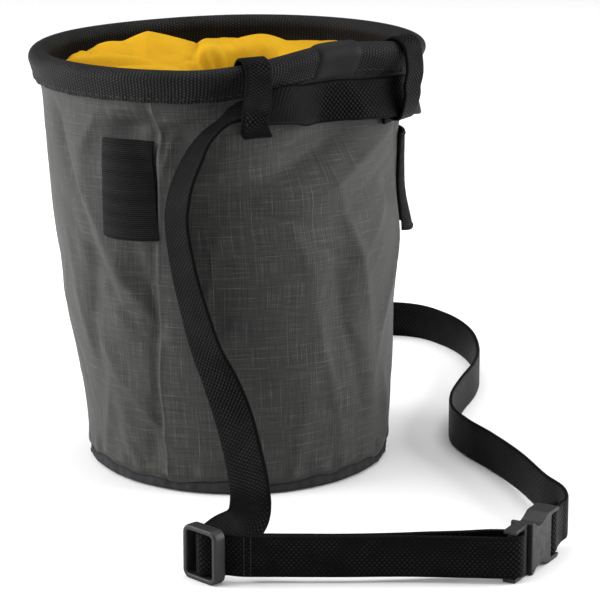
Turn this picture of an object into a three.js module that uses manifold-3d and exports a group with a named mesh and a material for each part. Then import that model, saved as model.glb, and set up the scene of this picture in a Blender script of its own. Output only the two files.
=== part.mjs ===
// A climbing chalk bag standing on its round base, with its waist belt laid out in front and to the
// right. Millimetres, +Z up. The origin is the middle of the base, on the floor. The front faces -Y.
import * as THREE from "three";
import Module from "manifold-3d";

const wasm = await Module();
wasm.setup();

// Bag
const bagHeight = 158.5; // floor to the top of the rolled rim, where the rim is level
const baseRadius = 57;
const baseThickness = 3;
const mouthHalfWidth = 71; // shell's outer face at the mouth, along X
const mouthHalfDepth = 57; // the same along Y
const mouthShift = -3.5; // the bag leans to the left towards its mouth
const shellWall = 2;
const bellyBulge = 1.5; // how far the middle of the shell rounds out
const rimTilt = 1.3; // the rim's right end stands this much higher than its middle

// Rolled rim and closure
const rollDiameter = 7.4; // binding and hoop together
const bindingHeight = 11.5; // top of the roll to the binding's stitched lower edge
const bindingThickness = 1.2;
const patchThickness = 1;
const skirtThickness = 1;
const skirtRise = 9; // yellow closure's highest fold above its sewn edge
const throatRadius = 17; // the opening that the gathered closure leaves

// Webbing and elastic
const beltWidth = 15;
const beltThickness = 1.5;
const loopWidth = 10;
const loopThickness = 1.3;
const loopEnd = 3; // how far a loop's ends run on past their seams
const sleeveWidth = 22.5;
const sleeveHeight = 37;
const sleeveThickness = 1.2;
const sleeveBow = 1.6; // the elastic's middle stands off the shell

// Belt laid on the floor
const frontReach = 88.5; // base to the doubled run in front of the bag
const sideReach = 63; // base to the belt's far right corner
const backReach = 97; // base to the belt where it passes behind the bag
const frontRun = 104.7; // slider to the buckle's bar
const sliderShift = -7.5; // slider's middle, along X
const layerGap = 7; // between the doubled layers at the buckle

// Slider and buckle
const sliderLength = 16;
const sliderDepth = 5;
const sliderRim = 1.8;
const sliderBar = 2.4;
const barDepth = 1.8;
const barBack = 0.5; // the slider's bar lies this far behind the middle of its frame
const sliderCorner = 2.2;
const overlapIn = 0.5; // how far joined parts of one body run into each other
const buckleLength = 32;
const buckleRail = 1.5; // above and below the webbing
const buckleDepth = 8.4;
const plugDepth = 4.8; // the plug half's frame
const prongDepth = 3.4;
const barWidth = 3; // both halves' bars, square
const plugBar = 3.2; // plug's end to the middle of its bar
const plugCollar = 2; // wall between the plug's window and its prongs
const socketMouth = 9.6; // plug's end to the start of the socket
const socketEnd = 0.9; // beyond the socket's bar
const cavityEnd = 21.6; // plug's end to the end of the hollow for the prongs
const cavityHalf = 6; // half the height of that hollow
const prongRoot = 2.6; // middle of the buckle to a prong's inner side
const sewnTail = 11; // sewn length of the belt beyond the socket's bar

const clearance = 0.3; // between pieces that touch
const around = 60; // columns of a ring-shaped piece

const rad = THREE.MathUtils.degToRad;
const up = new THREE.Vector3(0, 0, 1);
const point = (x, y, z) => new THREE.Vector3(x, y, z);
const mix = THREE.MathUtils.lerp;

// Levels that several pieces share
const hemHeight = baseThickness + clearance;
const bindingEdge = bagHeight - bindingHeight;
const beltLevel = bindingEdge - clearance - beltWidth / 2; // middle of the belt where it hangs under the rim
const rollLevel = bagHeight - rollDiameter / 2;
const shellTop = rollLevel - rollDiameter / 2 + clearance;
const webbingSlot = beltWidth + 2 * clearance; // height of every window that the belt passes
const sliderHeight = webbingSlot + 2 * sliderRim;
const buckleWidth = webbingSlot + 2 * buckleRail;
const beltSeat = clearance + bindingThickness + clearance + beltThickness / 2;

// Shell outline. up: share of the bag's height. flare: share of the way from the base's size to the
// mouth's. drift: share of the mouth's shift. belly: share of the belly's bulge.
const shellLevels = [
  { up: 0.0, flare: 0.0, drift: -0.4, belly: 0.0 },
  { up: 0.12, flare: 0.04, drift: -0.4, belly: 0.3 },
  { up: 0.25, flare: 0.15, drift: -0.1, belly: 0.6 },
  { up: 0.37, flare: 0.26, drift: 0.4, belly: 0.9 },
  { up: 0.54, flare: 0.42, drift: 0.5, belly: 1.0 },
  { up: 0.65, flare: 0.47, drift: 1.0, belly: 0.8 },
  { up: 0.8, flare: 0.62, drift: 1.1, belly: 0.4 },
  { up: 0.9, flare: 0.76, drift: 1.0, belly: 0.0 },
  { up: 0.95, flare: 1.0, drift: 0.6, belly: 0.0 },
  { up: 1.05, flare: 1.0, drift: 0.5, belly: 0.0 },
];

// The rim is pushed in and lifted at its front right. side: degrees. span: degrees each way.
// push: share of the mouth's half depth. lift: share of the bag's height.
const rimDents = [
  { side: -48, span: 55, push: 0.245, lift: 0.025 },
  { side: 118, span: 40, push: 0.03, lift: 0.0 },
];

// Folds of the shell. side: degrees around. up, tall: shares of the bag's height.
// wide, out: shares of the base's radius. slant: degrees.
const shellFolds = [
  { side: -118, up: 0.865, wide: 0.15, tall: 0.035, slant: 0, out: -0.06 },
  { side: -103, up: 0.855, wide: 0.14, tall: 0.03, slant: -8, out: -0.045 },
  { side: -108, up: 0.8, wide: 0.06, tall: 0.06, slant: 20, out: 0.03 },
  { side: -151, up: 0.83, wide: 0.06, tall: 0.08, slant: 14, out: -0.04 },
  { side: -139, up: 0.78, wide: 0.09, tall: 0.12, slant: 8, out: 0.03 },
  { side: -141, up: 0.45, wide: 0.06, tall: 0.17, slant: -6, out: -0.035 },
  { side: -127, up: 0.49, wide: 0.08, tall: 0.1, slant: 0, out: 0.025 },
  { side: -133, up: 0.14, wide: 0.07, tall: 0.1, slant: 10, out: 0.03 },
  { side: -121, up: 0.11, wide: 0.06, tall: 0.09, slant: -8, out: -0.03 },
  { side: -115, up: 0.39, wide: 0.07, tall: 0.03, slant: 0, out: -0.03 },
  { side: -98, up: 0.44, wide: 0.05, tall: 0.08, slant: 6, out: 0.022 },
  { side: -54, up: 0.78, wide: 0.38, tall: 0.03, slant: 14, out: -0.06 },
  { side: -52, up: 0.71, wide: 0.4, tall: 0.04, slant: 12, out: 0.035 },
  { side: -14, up: 0.68, wide: 0.14, tall: 0.04, slant: 0, out: -0.05 },
  { side: -50, up: 0.42, wide: 0.1, tall: 0.18, slant: -5, out: -0.025 },
  { side: -34, up: 0.25, wide: 0.09, tall: 0.14, slant: 5, out: 0.025 },
  { side: 35, up: 0.6, wide: 0.12, tall: 0.16, slant: -10, out: -0.04 },
  { side: 75, up: 0.4, wide: 0.1, tall: 0.2, slant: 8, out: 0.03 },
  { side: 100, up: 0.7, wide: 0.26, tall: 0.05, slant: -12, out: -0.045 },
  { side: 140, up: 0.5, wide: 0.09, tall: 0.2, slant: 6, out: -0.035 },
  { side: 168, up: 0.72, wide: 0.08, tall: 0.12, slant: -8, out: 0.03 },
];

// Folds of the closure, as mounds seen from above. across, deep: shares of the mouth's half width and
// depth. wide, long: shares of the mouth's half width. turn: degrees. rise: share of the closure's rise.
const skirtFolds = [
  { across: -0.48, deep: 0.46, wide: 0.2, long: 0.17, turn: 25, rise: 1.15 },
  { across: -0.72, deep: 0.02, wide: 0.2, long: 0.12, turn: 75, rise: 0.45 },
  { across: -0.42, deep: -0.42, wide: 0.55, long: 0.1, turn: -14, rise: 0.45 },
  { across: 0.1, deep: 0.5, wide: 0.24, long: 0.14, turn: 8, rise: 0.55 },
  { across: 0.16, deep: -0.36, wide: 0.34, long: 0.11, turn: 24, rise: 0.3 },
  { across: 0.58, deep: 0.3, wide: 0.32, long: 0.12, turn: -28, rise: 0.35 },
  { across: 0.5, deep: -0.08, wide: 0.26, long: 0.1, turn: 40, rise: 0.28 },
  { across: -0.16, deep: -0.1, wide: 0.2, long: 0.14, turn: 50, rise: 0.3 },
];

// Middle of the throat: shares of the mouth's half width and depth
const throatShift = { across: 0.06, deep: 0.1 };

// Closure from its sewn edge to the throat. in: share of the way in. rise: share of the closure's rise.
const skirtRings = [
  { in: 0.0, rise: -0.1 },
  { in: 0.1, rise: -0.06 },
  { in: 0.24, rise: 0.08 },
  { in: 0.4, rise: 0.22 },
  { in: 0.56, rise: 0.38 },
  { in: 0.72, rise: 0.45 },
  { in: 0.87, rise: 0.25 },
  { in: 1.0, rise: -0.5 },
];

// Belt from the right loop, under the rim, through the front loop and down to the slider.
// side: degrees around the bag. up: share of the belt's level. turn, lean: direction from the belt's
// upper edge to its lower one, in degrees around and above level.
const bandRows = [
  { side: -13, up: 1.0, turn: -20, lean: -80 },
  { side: -22, up: 0.998, turn: -28, lean: -74 },
  { side: -32, up: 0.996, turn: -38, lean: -72 },
  { side: -42, up: 0.996, turn: -45, lean: -80 },
  { side: -52, up: 0.996, turn: -52, lean: -88 },
  { side: -61, up: 0.998, turn: -60, lean: -80 },
  { side: -69, up: 1.008, turn: -75, lean: -58 },
  { side: -76, up: 1.026, turn: -87, lean: -34 },
];

// Belt in front of the bag. across: middle of the belt, in base radii along X. out: share of the front
// reach, off the bag. up, turn, lean: as above.
const dropRows = [
  { across: 0.023, out: 0.01, up: 1.033, turn: -104, lean: -10 },
  { across: -0.086, out: 0.015, up: 1.002, turn: -98, lean: -14 },
  { across: -0.186, out: 0.01, up: 0.948, turn: -80, lean: -18 },
  { across: -0.263, out: 0.01, up: 0.887, turn: -68, lean: -12 },
  { across: -0.312, out: 0.012, up: 0.818, turn: -58, lean: 0 },
  { across: -0.328, out: 0.015, up: 0.761, turn: -55, lean: 5 },
  { across: -0.284, out: 0.02, up: 0.631, turn: -51, lean: 15 },
  { across: -0.235, out: 0.03, up: 0.549, turn: -48, lean: 18 },
  { across: -0.145, out: 0.06, up: 0.428, turn: -40, lean: 15 },
  { across: -0.053, out: 0.11, up: 0.345, turn: -28, lean: 12 },
  { across: 0.026, out: 0.18, up: 0.265, turn: -22, lean: 12 },
  { across: 0.09, out: 0.29, up: 0.182, turn: -22, lean: 14 },
  { across: 0.13, out: 0.43, up: 0.118, turn: -26, lean: 6 },
  { across: 0.12, out: 0.545, up: 0.08, turn: -34, lean: -28 },
  { across: 0.055, out: 0.64, up: 0.068, turn: -40, lean: -62 },
  { across: -0.055, out: 0.74, up: 0.068, turn: -40, lean: -85 },
];

// Belt behind and beside the bag, standing on its lower edge: shares of the base's radius and reach.
const hiddenRows = [
  { side: 4, out: 0.014, up: 0.98, lean: -78 },
  { side: 22, out: 0.01, up: 0.958, lean: -82 },
  { side: 42, out: 0.01, up: 0.9, lean: -90 },
  { side: 62, out: 0.05, up: 0.77, lean: -90 },
  { side: 80, out: 0.17, up: 0.56, lean: -90 },
  { side: 90, out: 0.42, up: 0.3, lean: -90 },
  { side: 87, out: 0.75, up: 0.1, lean: -90 },
  { side: 77, out: 0.98, up: 0.01, lean: -90 },
];
const sideRows = [
  { x: 0.54, y: 1.0 },
  { x: 0.64, y: 0.972 },
  { x: 0.722, y: 0.896 },
  { x: 0.775, y: 0.812 },
  { x: 0.81, y: 0.701 },
  { x: 0.817, y: 0.532 },
  { x: 0.795, y: 0.42 },
  { x: 0.745, y: 0.285 },
  { x: 0.702, y: 0.14 },
  { x: 0.7, y: 0.03 },
  { x: 0.74, y: -0.075 },
  { x: 0.808, y: -0.192 },
  { x: 0.883, y: -0.36 },
  { x: 0.942, y: -0.54 },
  { x: 0.985, y: -0.645 },
];

// Smooth value of one column at a place along a table
function column(rows, key, place, name) {
  let at = 0;
  while (at < rows.length - 2 && rows[at + 1][key] <= place) at += 1;
  const row = (i) => rows[Math.min(Math.max(i, 0), rows.length - 1)];
  const span = rows[at + 1][key] - rows[at][key];
  const t = THREE.MathUtils.clamp((place - rows[at][key]) / span, 0, 1);
  const slope = (i) => {
    const width = row(i + 1)[key] - row(i - 1)[key];
    return (row(i + 1)[name] - row(i - 1)[name]) / width;
  };
  const p = rows[at][name];
  const q = rows[at + 1][name];
  const bend = (2 * t ** 3 - 3 * t ** 2 + 1) * p + (-2 * t ** 3 + 3 * t ** 2) * q;
  return bend + span * ((t ** 3 - 2 * t ** 2 + t) * slope(at) + (t ** 3 - t ** 2) * slope(at + 1));
}

function turnBetween(a, b) {
  return ((((a - b) % 360) + 540) % 360) - 180;
}

// How strongly the rim's dents act on one side of the bag
function rimDent(side, name) {
  return rimDents.reduce((sum, dent) => {
    const off = Math.abs(turnBetween(side, dent.side)) / dent.span;
    return off < 1 ? sum + dent[name] * Math.cos((off * Math.PI) / 2) ** 2 : sum;
  }, 0);
}

// Height at which a level of the bag lies on one side, with the rim's lift and tilt
function levelHeight(side, height) {
  const near = THREE.MathUtils.smoothstep(height / bagHeight, 0.6, 0.93);
  return height + near * (rimDent(side, "lift") * bagHeight + rimTilt * Math.cos(rad(side)));
}

function foldDepth(side, height) {
  const upShare = height / bagHeight;
  const fade =
    THREE.MathUtils.smoothstep(upShare, 0.01, 0.08) * (1 - THREE.MathUtils.smoothstep(upShare, 0.87, 0.92));
  const sum = shellFolds.reduce((total, fold) => {
    const away = rad(turnBetween(side, fold.side));
    const rise = ((upShare - fold.up) * bagHeight) / baseRadius;
    const turned = rad(fold.slant);
    const u = (away * Math.cos(turned) + rise * Math.sin(turned)) / fold.wide;
    const v = (-away * Math.sin(turned) + rise * Math.cos(turned)) / ((fold.tall * bagHeight) / baseRadius);
    return total + fold.out * Math.exp(-u * u - v * v);
  }, 0);
  return sum * fade * baseRadius;
}

// Point on the shell's outer face, without the lift of its level
function outline(side, height) {
  const share = height / bagHeight;
  const flare = column(shellLevels, "up", share, "flare");
  const belly = column(shellLevels, "up", share, "belly") * bellyBulge;
  const pushed = THREE.MathUtils.smoothstep(share, 0.6, 0.93) * rimDent(side, "push") * mouthHalfDepth;
  const grown = belly - pushed + foldDepth(side, height);
  const halfWidth = mix(baseRadius, mouthHalfWidth, flare) + grown;
  const halfDepth = mix(baseRadius, mouthHalfDepth, flare) + grown;
  const shift = column(shellLevels, "up", share, "drift") * mouthShift;
  return point(shift + halfWidth * Math.cos(rad(side)), halfDepth * Math.sin(rad(side)), 0);
}

function outwardAt(side, height) {
  const step = 2;
  const along = outline(side + step, height).sub(outline(side - step, height));
  return point(along.y, -along.x, 0).normalize();
}

// Point off the shell's outer face by a distance, at a level of the bag
function wall(side, height, off) {
  const place = outline(side, height).addScaledVector(outwardAt(side, height), off);
  place.z = levelHeight(side, height);
  return place;
}

// Closed body through a row of sections with as many points each
function loft(sections, ring) {
  const size = sections[0].length;
  const positions = sections.flat().flatMap((p) => [p.x, p.y, p.z]);
  const index = [];
  const last = ring ? sections.length : sections.length - 1;
  for (let i = 0; i < last; i += 1) {
    const here = i * size;
    const next = ((i + 1) % sections.length) * size;
    for (let j = 0; j < size; j += 1) {
      const k = (j + 1) % size;
      index.push(here + j, next + j, next + k, here + j, next + k, here + k);
    }
  }
  if (!ring) {
    const end = (sections.length - 1) * size;
    const flat = THREE.ShapeUtils.triangulateShape(flatten(sections[0]), []);
    flat.forEach(([a, b, c]) => index.push(a, b, c));
    const flatEnd = THREE.ShapeUtils.triangulateShape(flatten(sections.at(-1)), []);
    flatEnd.forEach(([a, b, c]) => index.push(end + a, end + c, end + b));
  }
  const geometry = new THREE.BufferGeometry();
  geometry.setAttribute("position", new THREE.Float32BufferAttribute(positions, 3));
  geometry.setIndex(volumeOf(positions, index) < 0 ? flipped(index) : index);
  geometry.computeVertexNormals();
  return geometry;
}

// Section seen flat, in its own plane, wound so that its first face looks back along the loft
function flatten(section) {
  const middle = section.reduce((sum, p) => sum.add(p), point(0, 0, 0)).divideScalar(section.length);
  const normal = point(0, 0, 0);
  section.forEach((p, i) => {
    const q = section[(i + 1) % section.length];
    normal.add(p.clone().sub(middle).cross(q.clone().sub(middle)));
  });
  normal.normalize();
  const sideways = section[1].clone().sub(section[0]).normalize();
  const over = normal.clone().cross(sideways);
  return section.map((p) => {
    const from = p.clone().sub(middle);
    return new THREE.Vector2(from.dot(sideways), from.dot(over));
  });
}

function volumeOf(positions, index) {
  const at = (i) => point(positions[3 * i], positions[3 * i + 1], positions[3 * i + 2]);
  let sum = 0;
  for (let i = 0; i < index.length; i += 3) {
    sum += at(index[i]).dot(at(index[i + 1]).cross(at(index[i + 2])));
  }
  return sum;
}

function flipped(index) {
  return index.map((_, i) => index[i % 3 === 0 ? i : i % 3 === 1 ? i + 1 : i - 1]);
}

// Flat strap through stations of a middle point and the direction across its width
function strap(stations, width, thickness, steps) {
  const middle = new THREE.CatmullRomCurve3(stations.map((s) => s.at));
  const across = new THREE.CatmullRomCurve3(stations.map((s) => s.across));
  const sections = [];
  for (let i = 0; i <= steps; i += 1) {
    const t = i / steps;
    const at = middle.getPoint(t);
    const along = middle.getTangent(t);
    const wide = across.getPoint(t);
    wide.addScaledVector(along, -wide.dot(along)).normalize();
    const thick = along.clone().cross(wide).normalize();
    const corner = (w, h) =>
      at.clone().addScaledVector(wide, (w * width) / 2).addScaledVector(thick, (h * thickness) / 2);
    sections.push([corner(-1, -1), corner(1, -1), corner(1, 1), corner(-1, 1)]);
  }
  return loft(sections, false);
}

function direction(turn, lean) {
  const level = Math.cos(rad(lean));
  return point(level * Math.cos(rad(turn)), level * Math.sin(rad(turn)), Math.sin(rad(lean)));
}

// Manifold bodies for cutting and joining
function solidOf(geometry) {
  const flat = geometry.index ? geometry.toNonIndexed() : geometry;
  const source = flat.attributes.position;
  const known = new Map();
  const vertices = [];
  const faces = [];
  for (let i = 0; i < source.count; i += 1) {
    const values = [source.getX(i), source.getY(i), source.getZ(i)];
    const key = values.map((value) => Math.round(value * 1e5)).join();
    if (!known.has(key)) {
      known.set(key, vertices.length / 3);
      vertices.push(...values);
    }
    faces.push(known.get(key));
  }
  const mesh = new wasm.Mesh({
    numProp: 3,
    vertProperties: new Float32Array(vertices),
    triVerts: new Uint32Array(faces),
  });
  return new wasm.Manifold(mesh);
}

function geometryOf(solid) {
  const mesh = solid.getMesh();
  const geometry = new THREE.BufferGeometry();
  geometry.setAttribute("position", new THREE.BufferAttribute(mesh.vertProperties, 3));
  geometry.setIndex(new THREE.BufferAttribute(mesh.triVerts, 1));
  geometry.computeVertexNormals();
  return geometry;
}

// Plate from an outline of (along, upward) points, middle at height zero of its thickness
function plate(points, thickness) {
  const shape = new THREE.Shape(points.map(([x, y]) => new THREE.Vector2(x, y)));
  const geometry = new THREE.ExtrudeGeometry(shape, { depth: thickness, bevelEnabled: false });
  return solidOf(geometry.translate(0, 0, -thickness / 2));
}

function block(left, right, low, high, thickness) {
  return plate([[left, low], [right, low], [right, high], [left, high]], thickness);
}

// Bag pieces
function bagShell() {
  const levels = 16;
  const top = shellTop;
  const sections = [];
  for (let i = 0; i < around; i += 1) {
    const side = (i * 360) / around;
    const outer = [];
    const inner = [];
    for (let j = 0; j <= levels; j += 1) {
      const height = mix(hemHeight, top, j / levels);
      outer.push(wall(side, height, 0));
      inner.unshift(wall(side, height, -shellWall));
    }
    sections.push([...outer, ...inner]);
  }
  return loft(sections, true);
}

// Base: a flat disc with a rounded lower edge that follows the shell's foot
function basePanel() {
  const rings = [
    { height: 0, inset: 1.6 },
    { height: baseThickness * 0.3, inset: 0.5 },
    { height: baseThickness, inset: 0 },
  ];
  const sections = rings.map(({ height, inset }) => {
    const ring = [];
    for (let i = 0; i < around; i += 1) {
      const place = wall((i * 360) / around, hemHeight, -inset);
      place.z = height;
      ring.push(place);
    }
    return ring;
  });
  return loft(sections, false);
}

// Section of the binding at one side: down its outside, under the shell's edge and up its inside
function bindingSection(side, extra) {
  const roll = rollDiameter / 2 + extra;
  const outerLeg = clearance + bindingThickness + extra;
  const innerLeg = -shellWall - clearance - bindingThickness - extra;
  const middle = -shellWall / 2;
  const section = [wall(side, bindingEdge, outerLeg), wall(side, shellTop - rollDiameter * 0.22, outerLeg)];
  for (const turn of [-25, 5, 35, 65, 90, 115, 145, 175, 205]) {
    const off = middle + roll * Math.cos(rad(turn));
    const rise = roll * Math.sin(rad(turn));
    const place = wall(side, rollLevel, off);
    section.push(place.setZ(place.z + rise));
  }
  section.push(wall(side, shellTop - rollDiameter * 0.22, innerLeg), wall(side, bindingEdge, innerLeg));
  return section;
}

function rimBinding() {
  const sections = [];
  for (let i = 0; i < around; i += 1) {
    const side = (i * 360) / around;
    const slot = clearance;
    sections.push([
      ...bindingSection(side, 0),
      wall(side, bindingEdge, -shellWall - slot),
      wall(side, shellTop + slot, -shellWall - slot),
      wall(side, shellTop + slot, slot),
      wall(side, bindingEdge, slot),
    ]);
  }
  return loft(sections, true);
}

// Smooth patch folded over the rim where the hoop's ends meet
function rimPatch() {
  const from = -56;
  const to = -36;
  const steps = 6;
  const sections = [];
  for (let i = 0; i <= steps; i += 1) {
    const side = mix(from, to, i / steps);
    const outside = bindingSection(side, clearance + patchThickness);
    const inside = bindingSection(side, clearance).reverse();
    sections.push([...outside, ...inside]);
  }
  return loft(sections, false);
}

// Yellow closure: a gathered ring of cloth sewn below the binding, open in the middle
function skirtPoint(side, share, off) {
  const edge = wall(side, bindingEdge, -shellWall - clearance - bindingThickness - clearance);
  const throat = point(throatRadius * 1.15 * Math.cos(rad(side)), throatRadius * 0.85 * Math.sin(rad(side)), 0);
  throat.x += throatShift.across * mouthHalfWidth;
  throat.y += throatShift.deep * mouthHalfDepth;
  const place = point(mix(edge.x, throat.x, share), mix(edge.y, throat.y, share), 0);
  const loose = Math.sin(Math.PI * Math.min(share * 1.08, 1)) ** 0.7;
  const mounds = skirtFolds.reduce((sum, fold) => {
    const x = place.x / mouthHalfWidth - fold.across;
    const y = (place.y / mouthHalfDepth - fold.deep) * (mouthHalfDepth / mouthHalfWidth);
    const u = (x * Math.cos(rad(fold.turn)) + y * Math.sin(rad(fold.turn))) / fold.wide;
    const v = (-x * Math.sin(rad(fold.turn)) + y * Math.cos(rad(fold.turn))) / fold.long;
    return sum + fold.rise * Math.exp(-u * u - v * v);
  }, 0);
  const base = column(skirtRings, "in", share, "rise");
  const level = mix(edge.z, bindingEdge, share);
  place.z = level + skirtRise * (base + mounds * loose * 0.8) + off;
  return place;
}

function closureSkirt() {
  const sections = [];
  for (let i = 0; i < around; i += 1) {
    const side = (i * 360) / around;
    const top = skirtRings.map((ring) => skirtPoint(side, ring.in, 0));
    const under = skirtRings.map((ring) => skirtPoint(side, ring.in, -skirtThickness)).reverse();
    sections.push([...top, ...under]);
  }
  return loft(sections, true);
}

// Elastic brush sleeves, open above and below, bowed off the shell between their sewn sides.
// side: degrees. up: middle, as a share of the bag's height. top, foot: mm that each end stands further off.
const sleeveRows = {
  left: { side: -120.5, up: 0.727, top: 0.8, foot: 0.2 },
  right: { side: 9, up: 0.66, top: -0.9, foot: 2.2 },
};

function brushSleeve({ side, up: share, top, foot }) {
  const height = share * bagHeight;
  const columns = 8;
  const rows = 6;
  const halfTurn = THREE.MathUtils.radToDeg(sleeveWidth / 2 / mix(baseRadius, mouthHalfWidth, 0.55));
  const sections = [];
  for (let i = 0; i <= columns; i += 1) {
    const place = i / columns;
    const at = side + mix(-halfTurn, halfTurn, place);
    const bow = Math.sin(Math.PI * place) ** 0.8;
    const outer = [];
    const inner = [];
    for (let j = 0; j <= rows; j += 1) {
      const level = mix(height - sleeveHeight / 2, height + sleeveHeight / 2, j / rows);
      const flare = foot * (1 - j / rows) ** 3 + top * (j / rows) ** 3;
      const off = 2 * clearance + bow * (sleeveBow + flare);
      outer.push(wall(at, level, off + sleeveThickness));
      inner.unshift(wall(at, level, off));
    }
    sections.push([...outer, ...inner]);
  }
  return loft(sections, false);
}

// Belt stations
function bandStation({ side, up: share, turn, lean }) {
  const across = direction(turn, lean);
  const level = share * beltLevel;
  const upperEdge = outline(side, Math.min(level - (beltWidth / 2) * across.z, bindingEdge));
  const flare = upperEdge.sub(outline(side, level)).dot(outwardAt(side, level));
  const off = beltSeat + (beltWidth / 2) * Math.cos(rad(lean)) + Math.max(flare, 0);
  return { at: wall(side, level, off), across };
}

function dropStation({ across: share, out, up: rise, turn, lean }) {
  const across = direction(turn, lean);
  const height = rise * beltLevel;
  const x = share * baseRadius;
  const spread = mix(baseRadius, mouthHalfWidth, rise);
  const side = -90 + THREE.MathUtils.radToDeg(Math.asin(x / spread));
  const front = wall(side, height, 0).y;
  const room = beltSeat + (beltWidth / 2) * Math.abs(across.y);
  return { at: point(x, front - room - out * frontReach, height), across };
}

function hiddenStation({ side, out, up: share, lean }) {
  const across = direction(side, lean);
  const height = mix(beltWidth / 2, beltLevel, share);
  const off = beltSeat + (beltWidth / 2) * Math.cos(rad(lean)) + out * backReach;
  return { at: wall(side, height, off), across };
}

const down = point(0, 0, -1);
const frontLine = -(baseRadius + frontReach);
const sideLine = baseRadius + sideReach;
const backLine = baseRadius + backReach;

// Slider: a quarter turn halfway between the drop and the front run. Its own axes run along the frame,
// up, and out of its face towards the left front.
const sliderAt = point(sliderShift, frontLine + sliderDepth / 2, sliderHeight / 2);
const sliderAlong = direction(-45, 0);
const sliderFace = sliderAlong.clone().cross(up);
const sliderGap = (sliderLength - 2 * sliderRim - sliderBar) / 2;

function sliderStation(along, face) {
  const at = sliderAt.clone().addScaledVector(sliderAlong, along).addScaledVector(sliderFace, face);
  return { at, across: down };
}

// Buckle: on its long edge. Its own axes run from the plug half to the socket half, up, and out to the right.
const socketBar = buckleLength - barWidth / 2 - socketEnd;
const buckleAlong = direction(61.3, 0);
const buckleFace = buckleAlong.clone().cross(up);
const barSpot = point(sliderShift + frontRun, frontLine + layerGap / 2 - clearance * 3, buckleWidth / 2);
const buckleAt = barSpot.clone().addScaledVector(buckleAlong, -plugBar);

function buckleStation(along, face) {
  const at = buckleAt.clone().addScaledVector(buckleAlong, along).addScaledVector(buckleFace, face);
  return { at, across: down };
}

// How far the belt's middle runs from the middle of a square bar that it turns round
const wrap = barWidth / Math.SQRT2 + clearance + beltThickness / 2;

// Belt along its whole length, from its end sewn at the socket to its end sewn beside the slider
function socketStations() {
  const pair = (beltThickness + clearance) / 2;
  const turn = [-90, -130, 180, 130, 90].map((angle) =>
    buckleStation(socketBar + wrap * Math.cos(rad(angle)), wrap * Math.sin(rad(angle))),
  );
  return [
    buckleStation(socketBar + sewnTail, -pair),
    buckleStation(socketBar + sewnTail / 2, -mix(pair, wrap, 0.4)),
    ...turn,
    buckleStation(socketBar + sewnTail / 2, mix(pair, wrap, 0.4)),
    buckleStation(socketBar + sewnTail, pair),
    buckleStation(socketBar + sewnTail * 1.4, pair * 0.9),
  ];
}

function sideStations() {
  return sideRows.toReversed().map(({ x, y }, i) => {
    const settle = Math.max(0, 1 - i / 3) * (buckleWidth - beltWidth) * 0.4;
    const reach = y < 0 ? -frontLine : backLine;
    return { at: point(x * sideLine, y * reach, beltWidth / 2 + settle), across: down };
  });
}

const hiddenStations = () => hiddenRows.toReversed().map(hiddenStation);
const bandStations = () => bandRows.map(bandStation);
const dropStations = () => dropRows.map(dropStation);

function sliderStations() {
  const side = sliderBar / 2 + sliderGap / 2;
  const behind = sliderDepth / 2 + 1.8;
  return [
    sliderStation(-side - 1.6, -behind),
    sliderStation(-side, -0.8),
    sliderStation(0, barDepth / 2 - barBack + 2 * clearance + beltThickness / 2),
    sliderStation(side, -0.8),
    sliderStation(side + 2, -behind),
  ];
}

// Doubled run in front. along: share of the run from the slider to the buckle. bow: share of the layer gap.
const frontRows = [
  { along: 0.12, bow: 0.02 },
  { along: 0.24, bow: 0.0 },
  { along: 0.45, bow: 0.0 },
  { along: 0.66, bow: 0.08 },
  { along: 0.86, bow: -0.06 },
];
const backRows = [
  { along: 0.93, open: 0.98 },
  { along: 0.84, open: 0.72 },
  { along: 0.72, open: 0.4 },
  { along: 0.6, open: 0.1 },
  { along: 0.45, open: 0.0 },
  { along: 0.3, open: 0.0 },
  { along: 0.16, open: 0.0 },
];

function frontLevel(along) {
  return mix(sliderHeight, buckleWidth, along) / 2;
}

function layerY(along) {
  return frontLine + column(frontRows, "along", along, "bow") * layerGap;
}

function frontStations() {
  return frontRows.map(({ along }) => ({
    at: point(sliderShift + along * frontRun, layerY(along), frontLevel(along)),
    across: down,
  }));
}

function turnStations() {
  const radius = layerGap / 2;
  const middle = point(barSpot.x + wrap - radius, barSpot.y, barSpot.z);
  return [-80, -40, 0, 40, 80].map((angle) => ({
    at: middle.clone().addScaledVector(direction(angle, 0), radius),
    across: down,
  }));
}

function backStations() {
  return backRows.map(({ along, open }) => {
    const apart = mix(beltThickness + clearance, layerGap, open);
    const y = mix(layerY(Math.min(along, 0.86)), frontLine, open * 0.5) + apart;
    return { at: point(sliderShift + along * frontRun, y, frontLevel(along)), across: down };
  });
}

const runs = {
  side: [...socketStations(), ...sideStations()],
  hidden: hiddenStations(),
  band: bandStations(),
  drop: dropStations(),
  front: [...sliderStations(), ...frontStations(), ...turnStations(), ...backStations()],
};
const stations = Object.values(runs).flat();
const middleLine = new THREE.CatmullRomCurve3(stations.map((s) => s.at));
const acrossLine = new THREE.CatmullRomCurve3(stations.map((s) => s.across));

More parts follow.
